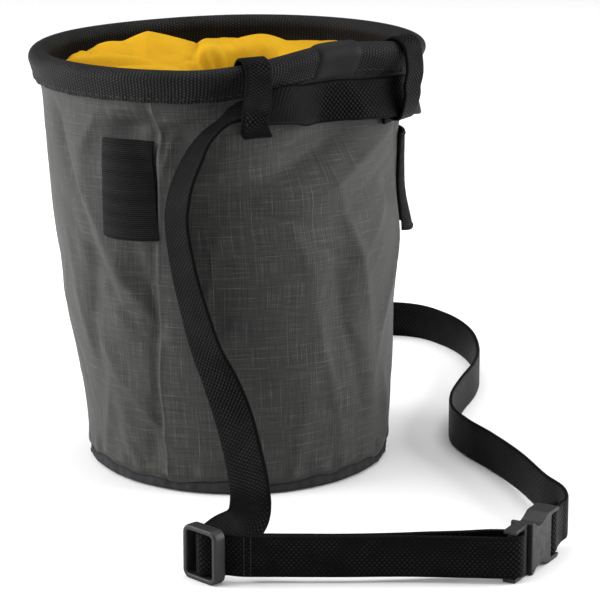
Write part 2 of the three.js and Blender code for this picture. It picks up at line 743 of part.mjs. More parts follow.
// One stretch of the belt between two places, counted in stations
function beltStretch(from, to, steps) {
  const sections = [];
  for (let i = 0; i <= steps; i += 1) {
    const t = mix(from, to, i / steps) / (stations.length - 1);
    const along = middleLine.getTangent(t);
    const at = middleLine.getPoint(t);
    at.z = Math.max(at.z, (beltWidth / 2) * Math.abs(acrossLine.getPoint(t).z));
    if (i === 0 && from > 0) at.addScaledVector(along, clearance / 2);
    if (i === steps && to < stations.length - 1) at.addScaledVector(along, -clearance / 2);
    const wide = acrossLine.getPoint(t);
    wide.addScaledVector(along, -wide.dot(along)).normalize();
    const thick = along.clone().cross(wide);
    const corner = (w, h) =>
      at.clone().addScaledVector(wide, (w * beltWidth) / 2).addScaledVector(thick, (h * beltThickness) / 2);
    sections.push([corner(-1, -1), corner(1, -1), corner(1, 1), corner(-1, 1)]);
  }
  return loft(sections, false);
}

// Belt loops, from inside the rim, over the roll, out round the belt and back to the sewn end.
// side: degrees around the bag. reach: mm off the bag. apex, corner, sewn: shares of the belt's level.
// full: share of the reach at the corner. turn: degrees on to the sewn end. slip: sideways per mm of reach.
const loopRows = {
  front: { side: -81, reach: 17.9, apex: 1.01, corner: 0.97, full: 0.55, sewn: 0.952, turn: 2, slip: 0.28 },
  right: { side: -14, reach: 9.6, apex: 1, corner: 0.937, full: 0.85, sewn: 0.915, turn: 0, slip: 0 },
};

function beltLoop({ side, reach, apex, corner, full, sewn, turn: twist, slip }) {
  const skin = rollDiameter / 2 + 3 * clearance + loopThickness / 2;
  const middle = -shellWall / 2;
  const inner = -shellWall - bindingThickness - 4 * clearance - loopThickness / 2;
  const level = (off, height, rise, share = 0) => {
    const place = side + twist * share;
    const across = outwardAt(place, height).cross(up);
    const at = wall(place, height, off).addScaledVector(across, slip * Math.max(off - skin, 0));
    return { at: at.setZ(at.z + rise), across };
  };
  const over = [170, 140, 110, 80, 50, 20].map((turn) =>
    level(middle + skin * Math.cos(rad(turn)), rollLevel, skin * Math.sin(rad(turn))),
  );
  const out = clearance + loopThickness / 2;
  const path = [
    level(inner, bindingEdge + loopEnd, 0),
    ...over,
    level(mix(skin, reach, 0.42), mix(rollLevel, apex * beltLevel, 0.42), 0),
    level(reach * 0.93 + out, mix(rollLevel, apex * beltLevel, 0.75), 0),
    level(reach + out, apex * beltLevel, 0, 0.3),
    level(mix(out, reach, full), corner * beltLevel, 0, 0.7),
    level(out * 1.4, sewn * beltLevel, 0, 1),
    level(out, sewn * beltLevel - loopEnd, 0, 1),
  ];
  return strap(path, loopWidth, loopThickness, 30);
}

// Slider: a rounded frame with one bar
function roundedPlate(left, right, low, high, radius, thickness) {
  const corners = [
    [right - radius, high - radius, 0],
    [left + radius, high - radius, 90],
    [left + radius, low + radius, 180],
    [right - radius, low + radius, 270],
  ];
  const points = corners.flatMap(([x, y, start]) =>
    [0, 30, 60, 90].map((turn) => [
      x + radius * Math.cos(rad(start + turn)),
      y + radius * Math.sin(rad(start + turn)),
    ]),
  );
  return plate(points, thickness);
}

function slider() {
  const half = sliderLength / 2;
  const tall = sliderHeight / 2;
  const slot = webbingSlot / 2;
  const inside = half - sliderRim;
  const opening = roundedPlate(-inside, inside, -slot, slot, sliderCorner / 4, sliderDepth * 2);
  const frame = roundedPlate(-half, half, -tall, tall, sliderCorner, sliderDepth).subtract(opening);
  const bar = block(-sliderBar / 2, sliderBar / 2, -slot - overlapIn, slot + overlapIn, barDepth);
  return place(frame.add(bar.translate(0, 0, -barBack)), sliderAt, sliderAlong, sliderFace);
}

// Plug half: rails above and below the webbing, a bar, a shoulder and two prongs inside the socket
const plugShoulder = socketMouth - clearance;

function bucklePlug() {
  const slot = webbingSlot / 2;
  const tall = buckleWidth / 2;
  const shoulder = plugShoulder - plugCollar;
  const widest = mix(plugShoulder, cavityEnd, 0.6);
  const outer = cavityHalf - clearance;
  const rail = (low, high) => block(0, plugShoulder, low, high, plugDepth);
  const prong = (way) =>
    plate(
      [
        [plugShoulder - overlapIn, prongRoot * way],
        [widest, outer * 0.74 * way],
        [cavityEnd - 1, outer * 0.56 * way],
        [cavityEnd - 1, outer * 0.81 * way],
        [widest, outer * way],
        [plugShoulder - overlapIn, outer * 0.81 * way],
      ],
      prongDepth,
    );
  const solid = rail(slot, tall)
    .add(rail(-tall, -slot))
    .add(block(plugBar - barWidth / 2, plugBar + barWidth / 2, -slot - overlapIn, slot + overlapIn, barWidth))
    .add(block(shoulder, plugShoulder, -tall, tall, plugDepth))
    .add(block(plugShoulder - overlapIn, widest, -prongRoot / 2, prongRoot / 2, prongDepth))
    .add(prong(1))
    .add(prong(-1));
  return place(solid, buckleAt, buckleAlong, buckleFace);
}

// Socket half's outline: shares of the buckle's length and half width
const socketEdge = [
  { along: 0.29, half: 1.0 },
  { along: 0.35, half: 1.0 },
  { along: 0.41, half: 0.84 },
  { along: 0.48, half: 0.76 },
  { along: 0.56, half: 0.76 },
  { along: 0.64, half: 0.86 },
  { along: 0.72, half: 1.0 },
  { along: 0.97, half: 1.0 },
  { along: 1.0, half: 0.93 },
];

function buckleSocket() {
  const slot = webbingSlot / 2;
  const tall = buckleWidth / 2;
  const upper = socketEdge.map(({ along, half }) => [
    Math.max(along * buckleLength, socketMouth),
    half * tall,
  ]);
  const lower = upper.map(([x, y]) => [x, -y]);
  const body = plate([...lower, ...upper.toReversed()], buckleDepth);
  const hollow = block(socketMouth - 1, cavityEnd, -cavityHalf, cavityHalf, prongDepth + 2 * clearance);
  const barFront = socketBar - barWidth / 2;
  const barEnd = socketBar + barWidth / 2;
  const windowStart = socketBar - wrap - beltThickness / 2 - clearance;
  const windowCut = block(windowStart, barFront, -slot, slot, buckleDepth * 2);
  const behindBar = block(barEnd, buckleLength + 1, -slot, slot, buckleDepth * 2);
  const besideBar = block(barFront - overlapIn, barEnd + overlapIn, -slot, slot, buckleDepth * 2).subtract(
    block(barFront - 1, barEnd + 1, -slot - 1, slot + 1, barWidth),
  );
  const solid = body.subtract(hollow).subtract(windowCut).subtract(behindBar).subtract(besideBar);
  return place(solid, buckleAt, buckleAlong, buckleFace);
}

function place(solid, origin, along, normal) {
  const matrix = new THREE.Matrix4().makeBasis(along, up, normal).setPosition(origin);
  return geometryOf(solid).applyMatrix4(matrix);
}

// Finishes
const finish = (color, roughness) => () => new THREE.MeshStandardMaterial({ color, roughness, metalness: 0 });
const ripstop = finish(0x4c4b4a, 0.75);
const baseCloth = finish(0x2a2a2b, 0.85);
const grosgrain = finish(0x171717, 0.85);
const webbing = finish(0x121212, 0.8);
const elastic = finish(0x101010, 0.9);
const yellowCloth = finish(0xf0b218, 0.7);
const smoothPatch = finish(0x1e1f21, 0.6);
const plastic = finish(0x343434, 0.5);

const bag = new THREE.Group();

function add(name, geometry, material) {
  const mesh = new THREE.Mesh(geometry, material());
  mesh.name = name;
  bag.add(mesh);
}

add("bag_shell", bagShell(), ripstop);
add("base_panel", basePanel(), baseCloth);
add("rim_binding", rimBinding(), grosgrain);
add("rim_joint_patch", rimPatch(), smoothPatch);
add("closure_skirt", closureSkirt(), yellowCloth);
Object.entries(sleeveRows).forEach(([name, row]) => add(`brush_sleeve_${name}`, brushSleeve(row), elastic));
Object.entries(loopRows).forEach(([name, row]) => add(`belt_loop_${name}`, beltLoop(row), webbing));

const frontLoopAt = runs.side.length + runs.hidden.length + runs.band.length - 0.5;
const rightLoopAt = runs.side.length + runs.hidden.length - 0.5;
const rearAt = runs.side.length - 0.5;
const sliderStart = frontLoopAt + runs.drop.length;
const stretches = [
  { name: "belt_side", from: 0, to: rearAt, steps: 54 },
  { name: "belt_back", from: rearAt, to: rightLoopAt, steps: 24 },
  { name: "belt_band", from: rightLoopAt, to: frontLoopAt, steps: 20 },
  { name: "belt_drop", from: frontLoopAt, to: sliderStart, steps: 36 },
  { name: "belt_front", from: sliderStart, to: stations.length - 1, steps: 60 },
];
stretches.forEach(({ name, from, to, steps }) => add(name, beltStretch(from, to, steps), webbing));

add("slider", slider(), plastic);
add("buckle_plug", bucklePlug(), plastic);
add("buckle_socket", buckleSocket(), plastic);

export default bag;
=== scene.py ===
import math

import bpy
import numpy as np
from mathutils import Matrix, Vector


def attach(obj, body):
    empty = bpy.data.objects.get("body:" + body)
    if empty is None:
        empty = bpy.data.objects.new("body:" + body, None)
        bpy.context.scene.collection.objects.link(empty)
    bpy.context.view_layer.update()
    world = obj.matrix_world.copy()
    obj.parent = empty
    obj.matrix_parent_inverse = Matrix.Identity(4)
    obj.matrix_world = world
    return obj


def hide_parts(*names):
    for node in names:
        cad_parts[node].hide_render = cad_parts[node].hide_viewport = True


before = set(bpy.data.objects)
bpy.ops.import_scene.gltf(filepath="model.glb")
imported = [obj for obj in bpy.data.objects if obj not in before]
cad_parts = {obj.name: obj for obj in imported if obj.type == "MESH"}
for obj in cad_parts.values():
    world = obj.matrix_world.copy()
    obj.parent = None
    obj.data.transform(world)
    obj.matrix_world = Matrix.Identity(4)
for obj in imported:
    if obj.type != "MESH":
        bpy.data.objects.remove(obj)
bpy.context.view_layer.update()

MM = 0.001


def table(names, *rows):
    """Rows of numbers as dictionaries, under the names of their columns."""
    return [dict(zip(names.split(), row)) for row in rows]


# Bag
BAG_HEIGHT = 158.5 * MM
BASE_RADIUS = 57 * MM
BASE_THICKNESS = 3 * MM
MOUTH_HALF_WIDTH = 71 * MM
MOUTH_HALF_DEPTH = 57 * MM
MOUTH_SHIFT = -3.5 * MM
SHELL_WALL = 2 * MM
BELLY_BULGE = 1.5 * MM
RIM_TILT = 1.3 * MM
SEAM_STEP = 0.9 * MM  # the front panel lies this much over the left one at the seam
SEAM_SIDE = -112
SEAM_BLEND = 14  # degrees beside the seam in which the cloth's columns follow it

# Rim and closure
ROLL_DIAMETER = 7.4 * MM
BINDING_HEIGHT = 11.5 * MM
BINDING_THICKNESS = 1.2 * MM
PATCH_THICKNESS = 1 * MM
SKIRT_THICKNESS = 0.6 * MM
SKIRT_RISE = 9 * MM
THROAT_RADIUS = 15 * MM
THROAT_WAY = 45 * MM  # from the sewn edge to the throat
GATHER_COUNT = 110
GATHER_WIDTH = 2.2  # degrees

# Small random creases of the shell: how many, and their greatest share of the base's radius
CREASE_COUNT = 90
CREASE_OUT = 0.008

# Webbing and elastic
BELT_WIDTH = 15 * MM
BELT_THICKNESS = 1.5 * MM
LOOP_WIDTH = 10 * MM
LOOP_THICKNESS = 1.3 * MM
LOOP_END = 3 * MM
SLEEVE_WIDTH = 22.5 * MM
SLEEVE_HEIGHT = 37 * MM
SLEEVE_THICKNESS = 1.2 * MM
SLEEVE_BOW = 1.6 * MM
SLEEVE_CORD = 0.85 * MM

# Belt on the floor
FRONT_REACH = 88.5 * MM
SIDE_REACH = 63 * MM
BACK_REACH = 97 * MM
FRONT_RUN = 104.7 * MM
SLIDER_SHIFT = -7.5 * MM
LAYER_GAP = 7 * MM

# Slider and buckle
SLIDER_LENGTH = 16 * MM
SLIDER_DEPTH = 5 * MM
SLIDER_RIM = 1.8 * MM
SLIDER_BAR = 2.4 * MM
BAR_DEPTH = 1.8 * MM
BAR_BACK = 0.5 * MM
BUCKLE_LENGTH = 32 * MM
BUCKLE_RAIL = 1.5 * MM
BAR_WIDTH = 3 * MM
PLUG_BAR = 3.2 * MM
SOCKET_END = 0.9 * MM
SEWN_TAIL = 11 * MM

# Stitches
STITCH_LENGTH = 2.3 * MM
STITCH_WIDTH = 0.45 * MM
TACK_LENGTH = 1.0 * MM
LOOP_TACK_LENGTH = 0.9 * MM
TACK_WIDTH = 0.4 * MM
TACKS_ACROSS = 12
LOOP_TACKS_ACROSS = 9
STITCH_TURN = 2.55  # degrees between the rim's stitches

CLEARANCE = 0.3 * MM

HEM_HEIGHT = BASE_THICKNESS + CLEARANCE
BINDING_EDGE = BAG_HEIGHT - BINDING_HEIGHT
BELT_LEVEL = BINDING_EDGE - CLEARANCE - BELT_WIDTH / 2
ROLL_LEVEL = BAG_HEIGHT - ROLL_DIAMETER / 2
SHELL_TOP = ROLL_LEVEL - ROLL_DIAMETER / 2 + CLEARANCE
WEBBING_SLOT = BELT_WIDTH + 2 * CLEARANCE
SLIDER_HEIGHT = WEBBING_SLOT + 2 * SLIDER_RIM
BUCKLE_WIDTH = WEBBING_SLOT + 2 * BUCKLE_RAIL
BELT_SEAT = 2 * CLEARANCE + BINDING_THICKNESS + BELT_THICKNESS / 2

# Shell outline: shares of the bag's height, of the way to the mouth's size, of its shift and of the belly
SHELL_LEVELS = dict(
    up=(0.0, 0.12, 0.25, 0.37, 0.54, 0.65, 0.8, 0.9, 0.95, 1.05),
    flare=(0.0, 0.04, 0.15, 0.26, 0.42, 0.47, 0.62, 0.76, 1.0, 1.0),
    drift=(-0.4, -0.4, -0.1, 0.4, 0.5, 1.0, 1.1, 1.0, 0.6, 0.5),
    belly=(0.0, 0.3, 0.6, 0.9, 1.0, 0.8, 0.4, 0.0, 0.0, 0.0),
)
RIM_DENTS = table(
    "side span push lift",
    (-48, 55, 0.245, 0.025),
    (118, 40, 0.03, 0.0),
)

# Folds that the solids have too. side, slant: degrees. up, tall: shares of the bag's height.
# wide, out: shares of the base's radius.
SHELL_FOLDS = table(
    "side up wide tall slant out",
    (-118, 0.865, 0.15, 0.035, 0, -0.06),
    (-103, 0.855, 0.14, 0.03, -8, -0.045),
    (-108, 0.8, 0.06, 0.06, 20, 0.03),
    (-151, 0.83, 0.06, 0.08, 14, -0.04),
    (-139, 0.78, 0.09, 0.12, 8, 0.03),
    (-141, 0.45, 0.06, 0.17, -6, -0.035),
    (-127, 0.49, 0.08, 0.1, 0, 0.025),
    (-133, 0.14, 0.07, 0.1, 10, 0.03),
    (-121, 0.11, 0.06, 0.09, -8, -0.03),
    (-115, 0.39, 0.07, 0.03, 0, -0.03),
    (-98, 0.44, 0.05, 0.08, 6, 0.022),
    (-54, 0.78, 0.38, 0.03, 14, -0.06),
    (-52, 0.71, 0.4, 0.04, 12, 0.035),
    (-14, 0.68, 0.14, 0.04, 0, -0.05),
    (-50, 0.42, 0.1, 0.18, -5, -0.025),
    (-34, 0.25, 0.09, 0.14, 5, 0.025),
    (35, 0.6, 0.12, 0.16, -10, -0.04),
    (75, 0.4, 0.1, 0.2, 8, 0.03),
    (100, 0.7, 0.26, 0.05, -12, -0.045),
    (140, 0.5, 0.09, 0.2, 6, -0.035),
    (168, 0.72, 0.08, 0.12, -8, 0.03),
)

# Finer creases of the cloth alone, with sharp crests: the same columns
SHELL_CREASES = table(
    "side up wide tall slant out",
    (-137, 0.66, 0.05, 0.13, 24, 0.03),
    (-144, 0.7, 0.06, 0.1, 20, -0.028),
    (-125, 0.5, 0.07, 0.16, 36, 0.034),
    (-131, 0.47, 0.05, 0.15, 36, -0.03),
    (-117, 0.5, 0.07, 0.12, 14, -0.034),
    (-138, 0.33, 0.05, 0.12, 24, 0.018),
    (-150, 0.42, 0.06, 0.16, 12, 0.02),
    (-128, 0.24, 0.05, 0.08, 60, 0.016),
    (-121, 0.17, 0.04, 0.09, 38, 0.024),
    (-130, 0.1, 0.045, 0.07, 30, -0.02),
    (-143, 0.16, 0.05, 0.09, -16, 0.018),
    (-118, 0.09, 0.03, 0.05, 10, 0.014),
    (-150, 0.86, 0.05, 0.09, 16, 0.022),
    (-134, 0.86, 0.05, 0.06, -24, 0.022),
    (-106, 0.885, 0.04, 0.05, -60, 0.026),
    (-124, 0.9, 0.04, 0.03, -50, 0.026),
    (-106, 0.8, 0.04, 0.09, -14, 0.024),
    (-99, 0.43, 0.04, 0.05, 30, 0.024),
    (-95, 0.53, 0.05, 0.06, -10, 0.02),
    (-92, 0.36, 0.05, 0.09, -24, 0.012),
    (-84, 0.75, 0.035, 0.12, 74, 0.026),
    (-76, 0.67, 0.05, 0.12, 70, -0.024),
    (-38, 0.735, 0.035, 0.15, -68, 0.03),
    (-34, 0.68, 0.05, 0.14, -66, -0.03),
    (-30, 0.6, 0.05, 0.12, -44, 0.02),
    (-41, 0.56, 0.05, 0.2, 16, 0.022),
    (-46, 0.4, 0.06, 0.2, 14, -0.018),
    (-54, 0.3, 0.05, 0.2, 12, 0.018),
    (-66, 0.12, 0.05, 0.12, -10, 0.014),
    (-24, 0.36, 0.05, 0.12, -22, 0.02),
    (-14, 0.5, 0.04, 0.13, -20, 0.022),
    (-18, 0.16, 0.05, 0.1, 20, 0.018),
    (-6, 0.8, 0.05, 0.08, 10, -0.026),
    (20, 0.8, 0.05, 0.09, -40, 0.026),
    (58, 0.32, 0.05, 0.15, 24, 0.024),
    (88, 0.82, 0.04, 0.11, -70, 0.026),
    (118, 0.3, 0.05, 0.16, -20, 0.024),
    (155, 0.3, 0.05, 0.14, 18, 0.022),
    (176, 0.5, 0.05, 0.12, -24, 0.022),
)

# Puffs of the closure, seen from above, in millimetres. rise: top above the sewn edge's level. left, right,
# front, back: how far off each falls to that level. crest: 2 is round, 1 is a tent. turn: degrees.
PUFFS = table(
    "x y rise left right front back crest turn",
    (-32.8, 25, 10.7, 22, 38, 27, 21, 1.2, 0),
    (-46, 20, 7.3, 14, 25, 17, 20, 2.0, 0),
    (-9.5, 26, 7.2, 8, 26, 28, 18, 2.4, 0),
    (10.4, 27, 9.1, 24, 19, 24, 20, 1.7, 0),
    (27, 26, 6.2, 26, 30, 26, 20, 2.4, 0),
    (-45, -4, 7.4, 30, 28, 6, 7, 2.0, -3),
    (-32, -13, 4.8, 26, 26, 6, 5, 2.0, -8),
    (-10.8, -8, 4.6, 9, 9, 5, 6, 2.0, 0),
    (2.5, -7, 4.8, 7, 8, 5, 6, 2.0, 12),
    (24, 9, 5.4, 32, 28, 4, 5, 2.0, 36),
    (30, 2, 4.2, 26, 24, 5, 6, 2.0, 40),
    (-60, 12, 5.0, 9, 14, 18, 14, 2.0, 20),
    (48, 24, 5.4, 20, 14, 12, 16, 1.8, -30),
    (46, 4, 4.4, 12, 10, 16, 16, 2.0, -10),
    (-14, -38, 4.6, 18, 14, 12, 16, 1.7, -10),
    (16, -34, 4.2, 14, 16, 12, 14, 1.7, 24),
    (-4, 44, 4.4, 16, 20, 12, 8, 1.8, 8),
)
PLEATS = table(
    "x y long wide deep turn",
    (-13.7, 10, 15, 0.7, 1.1, 0),
    (-19, 6, 10, 1.4, 0.8, -28),
    (-2, 12, 12, 2.2, 1.3, 16),
)
# Closure from its sewn edge (0) to the throat (1): level as a share of its rise
SKIRT_RINGS = {
    "in": (0.0, 0.1, 0.24, 0.4, 0.56, 0.72, 0.87, 1.0),
    "rise": (-0.1, -0.06, 0.08, 0.22, 0.38, 0.45, 0.25, -0.5),
}
THROAT_SHIFT = dict(across=0.06, deep=-0.04)  # shares of the mouth's half width and half depth
THROAT_STRETCH = dict(across=1.15, deep=0.85)

# Belt. side, turn, lean: degrees. out: share of a reach. up: share of the belt's level.
# The rows are the solids' own, but near the front loop the band leans more.
BAND_ROWS = table(
    "side up turn lean",
    (-13, 1.0, -20, -80),
    (-22, 0.998, -28, -74),
    (-32, 0.996, -38, -72),
    (-42, 0.996, -45, -80),
    (-52, 0.996, -52, -88),
    (-61, 1.003, -60, -76),
    (-69, 1.02, -75, -53),
    (-76, 1.026, -87, -34),
)
DROP_ROWS = table(
    "across out up turn lean",
    (0.023, 0.01, 1.033, -104, -10),
    (-0.086, 0.015, 1.002, -98, -14),
    (-0.186, 0.01, 0.948, -80, -18),
    (-0.263, 0.01, 0.887, -68, -12),
    (-0.312, 0.012, 0.818, -58, 0),
    (-0.328, 0.015, 0.761, -55, 5),
    (-0.284, 0.02, 0.631, -51, 15),
    (-0.235, 0.03, 0.549, -48, 18),
    (-0.145, 0.06, 0.428, -40, 15),
    (-0.053, 0.11, 0.345, -28, 12),
    (0.026, 0.18, 0.265, -22, 12),
    (0.09, 0.29, 0.182, -22, 14),
    (0.13, 0.43, 0.118, -26, 6),
    (0.12, 0.545, 0.08, -34, -28),
    (0.055, 0.64, 0.068, -40, -62),
    (-0.055, 0.74, 0.068, -40, -85),
)
HIDDEN_ROWS = table(
    "side out up lean",
    (4, 0.014, 0.98, -78),
    (22, 0.01, 0.958, -82),
    (42, 0.01, 0.9, -90),
    (62, 0.05, 0.77, -90),
    (80, 0.17, 0.56, -90),
    (90, 0.42, 0.3, -90),
    (87, 0.75, 0.1, -90),
    (77, 0.98, 0.01, -90),
)
# Belt on the floor: shares of its reaches, and of its run from the slider to the buckle
SIDE_ROWS = dict(
    x=(0.54, 0.64, 0.722, 0.775, 0.81, 0.817, 0.795, 0.745, 0.702, 0.7, 0.74, 0.808, 0.883, 0.942, 0.985),
    y=(1.0, 0.972, 0.896, 0.812, 0.701, 0.532, 0.42, 0.285, 0.14, 0.03, -0.075, -0.192, -0.36, -0.54, -0.645),
)
FRONT_ROWS = dict(along=(0.12, 0.24, 0.45, 0.66, 0.86), bow=(0.02, 0.0, 0.0, 0.08, -0.06))
BACK_ROWS = dict(along=(0.93, 0.84, 0.72, 0.6, 0.45, 0.3, 0.16), open=(0.98, 0.72, 0.4, 0.1, 0.0, 0.0, 0.0))
# Belt loops. side: degrees. reach: off the wall. apex, corner, sewn: shares of the belt's level.
# full: share of the reach at the corner. turn: degrees from top to foot. slip: sideways share of the reach.
LOOP_ROWS = dict(
    front=dict(side=-81, reach=17.9 * MM, apex=1.01, corner=0.965, full=0.5, sewn=0.972,
               turn=2.5, slip=0.445),
    right=dict(side=-14, reach=9.9 * MM, apex=1.0, corner=0.945, full=0.72, sewn=0.95,
               turn=0, slip=0.0),
)
# Sleeves. side, lean: degrees. up: share of the bag's height. top, foot: how far they stand off more.
SLEEVE_ROWS = dict(
    left=dict(side=-120.1, up=0.723, top=1.6 * MM, foot=0.2 * MM, lean=2),
    right=dict(side=9, up=0.66, top=-0.9 * MM, foot=2.2 * MM, lean=0),
)

UP = np.array((0.0, 0.0, 1.0))
DOWN = -UP


# Small maths
def mix(a, b, t):
    return a + (b - a) * t


def smoothstep(x, low, high):
    t = np.clip((x - low) / (high - low), 0, 1)
    return t * t * (3 - 2 * t)


def column(rows, key, name, place):
    """Smooth value of one column at a place along a table."""
    keys, values = np.array(rows[key]), np.array(rows[name])
    wide_keys = np.concatenate([keys[:1], keys, keys[-1:]])
    wide_values = np.concatenate([values[:1], values, values[-1:]])
    slope = (wide_values[2:] - wide_values[:-2]) / (wide_keys[2:] - wide_keys[:-2])
    at = np.clip(np.searchsorted(keys, place, side="right") - 1, 0, len(keys) - 2)
    span = keys[at + 1] - keys[at]
    t = np.clip((place - keys[at]) / span, 0, 1)
    bend = (2 * t**3 - 3 * t**2 + 1) * values[at] + (3 * t**2 - 2 * t**3) * values[at + 1]
    return bend + span * ((t**3 - 2 * t**2 + t) * slope[at] + (t**3 - t**2) * slope[at + 1])


def turn_between(a, b):
    return (a - b + 180) % 360 - 180


def direction(turn, lean=0.0):
    turn, lean = np.radians(turn), np.radians(lean)
    return np.stack(
        np.broadcast_arrays(np.cos(lean) * np.cos(turn), np.cos(lean) * np.sin(turn), np.sin(lean)), axis=-1
    )


def unit(v):
    return v / np.linalg.norm(v, axis=-1, keepdims=True)


def point(x, y, z):
    return np.stack(np.broadcast_arrays(x, y, z), axis=-1)


# Bag's wall
def rim_dent(side, name):
    total = 0.0
    for dent in RIM_DENTS:
        off = np.minimum(np.abs(turn_between(side, dent["side"])) / dent["span"], 1)
        total = total + dent[name] * np.cos(off * math.pi / 2) ** 2
    return total


def level_height(side, height):
    near = smoothstep(height / BAG_HEIGHT, 0.6, 0.93)
    return height + near * (rim_dent(side, "lift") * BAG_HEIGHT + RIM_TILT * np.cos(np.radians(side)))


def fold_depth(side, height, folds, crest=2.0):
    share = height / BAG_HEIGHT
    total = 0.0
    for fold in folds:
        away = np.radians(turn_between(side, fold["side"]))
        rise = (share - fold["up"]) * BAG_HEIGHT / BASE_RADIUS
        c, s = math.cos(math.radians(fold["slant"])), math.sin(math.radians(fold["slant"]))
        u = (away * c + rise * s) / fold["wide"]
        v = (rise * c - away * s) / (fold["tall"] * BAG_HEIGHT / BASE_RADIUS)
        total = total + fold["out"] * np.exp(-((u * u + 0.01) ** (crest / 2)) - v * v)
    fade = smoothstep(share, 0.01, 0.08) * (1 - smoothstep(share, 0.87, 0.92))
    return total * fade * BASE_RADIUS


def outline(side, height):
    share = height / BAG_HEIGHT
    flare = column(SHELL_LEVELS, "up", "flare", share)
    belly = column(SHELL_LEVELS, "up", "belly", share) * BELLY_BULGE
    pushed = smoothstep(share, 0.6, 0.93) * rim_dent(side, "push") * MOUTH_HALF_DEPTH
    grown = belly - pushed + fold_depth(side, height, SHELL_FOLDS)
    half_width = mix(BASE_RADIUS, MOUTH_HALF_WIDTH, flare) + grown
    half_depth = mix(BASE_RADIUS, MOUTH_HALF_DEPTH, flare) + grown
    shift = column(SHELL_LEVELS, "up", "drift", share) * MOUTH_SHIFT
    return point(shift + half_width * np.cos(np.radians(side)), half_depth * np.sin(np.radians(side)), 0.0)


def outward_at(side, height):
    along = outline(side + 2, height) - outline(side - 2, height)
    return unit(point(along[..., 1], -along[..., 0], 0.0))


def wall(side, height, off=0.0):
    """Points off the shell's outer face by a distance."""
    side, height, off = np.broadcast_arrays(np.asarray(side, float), height, off)
    place = outline(side, height) + outward_at(side, height) * off[..., None]
    place[..., 2] = level_height(side, height)
    return place


# Meshes
def metric_uv(points, rings):
    """UVs in metres: mean lengths along the rows and along the columns of a grid."""
    lengths = []
    for axis in (0, 1):
        end = points.take([0], axis) if rings[axis] else points.take([], axis)
        steps = np.linalg.norm(np.diff(np.concatenate([points, end], axis), axis=axis), axis=2)
        lengths.append(np.concatenate([[0], np.cumsum(steps.mean(axis=1 - axis))]))
    return np.stack(np.meshgrid(*lengths, indexing="ij"), axis=-1)


def make_piece(name, points, faces, uv, material, replaces=(), sharp=50):
    """A piece of the object from points, faces and one UV pair for each face corner."""
    mesh = bpy.data.meshes.new(name)
    mesh.from_pydata(np.reshape(points, (-1, 3)).tolist(), [], faces)
    mesh.uv_layers.new(name="UVMap").data.foreach_set("uv", np.ravel(uv).astype(np.float32))
    mesh.shade_smooth()
    mesh.set_sharp_from_angle(angle=math.radians(sharp))
    mesh.materials.append(material)
    piece = bpy.data.objects.new(name, mesh)
    bpy.context.scene.collection.objects.link(piece)
    if replaces:
        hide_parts(*replaces)
    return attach(piece, "root")


def lattice(name, points, material, replaces=(), rings=(False, True), uv=None, sharp=50):
    """Grid of points, closed along its rows or columns, with caps where only its sections are closed."""
    n, m = points.shape[:2]
    uv = metric_uv(points, rings) if uv is None else uv
    rows, columns = np.arange(n if rings[0] else n - 1), np.arange(m if rings[1] else m - 1)
    i, j = np.meshgrid(rows, columns, indexing="ij")
    corners = [(i, j), (i + 1, j), (i + 1, j + 1), (i, j + 1)]
    index = np.stack([(a % n) * m + b % m for a, b in corners], -1).reshape(-1, 4)
    where = np.stack([uv[a, b] for a, b in corners], -2).reshape(-1, 4, 2)
    a, b, c, d = (points.reshape(-1, 3)[index[:, k]] for k in range(4))
    volume = np.sum(a * np.cross(b, c)) + np.sum(a * np.cross(c, d))
    faces, pairs = list(index), list(where)
    if rings == (False, True):
        faces += [np.arange(m)[::-1], np.arange((n - 1) * m, n * m)]
        pairs += [uv[0, :m][::-1], uv[n - 1, :m]]
    if volume < 0:
        faces, pairs = [face[::-1] for face in faces], [pair[::-1] for pair in pairs]
    faces = [face.tolist() for face in faces]
    return make_piece(name, points, faces, np.concatenate(pairs), material, replaces, sharp)


def stitch_row(centres, along, out, length, width):
    """Points of short threads that dive into the cloth at their ends."""
    t = np.linspace(-1, 1, 9)
    turn = np.radians(np.arange(0, 360, 60))
    size = np.sqrt(np.maximum(1 - t**4, 0.02))[:, None]
    across = unit(np.cross(out, along))
    return (
        centres[:, None, None] + along[:, None, None] * (t * length / 2)[:, None, None]
        + out[:, None, None] * (width / 2 * (size * np.sin(turn) - t[:, None] ** 2 * 1.4))[..., None]
        + across[:, None, None] * (width / 2 * size * np.cos(turn))[..., None]
    )


def stitches(name, rows, material, length=STITCH_LENGTH, width=STITCH_WIDTH):
    """One piece of many threads. rows: centres, directions along, directions out."""
    steps = np.concatenate([
        stitch_row(centres, unit(along), unit(out), length, width) for centres, along, out in rows
    ])
    count, n, m = steps.shape[:3]
    start = (np.arange(count) * n * m)[:, None]
    i, j = np.meshgrid(np.arange(n - 1), np.arange(m), indexing="ij")
    corners = [(i, j), (i, j + 1), (i + 1, j + 1), (i + 1, j)]
    quad = np.stack([a * m + b % m for a, b in corners], -1).reshape(-1, 4)
    quads = (quad + start[..., None]).reshape(-1, 4)
    first_caps, last_caps = np.arange(m)[::-1] + start, np.arange((n - 1) * m, n * m) + start
    faces = quads.tolist() + first_caps.tolist() + last_caps.tolist()
    uv = np.concatenate([
        np.tile(np.stack([i, j], -1)[:, :, None].repeat(4, 2).reshape(-1, 2) * 1e-4, (count, 1)),
        np.zeros((2 * count * m, 2)),
    ])
    return make_piece(name, steps, faces, uv, material)


# Looks
def linear(code):
    """Colour from its usual hex code."""
    parts = [((code >> shift) & 255) / 255 for shift in (16, 8, 0)]
    return tuple(x / 12.92 if x <= 0.04045 else ((x + 0.055) / 1.055) ** 2.4 for x in parts) + (1.0,)


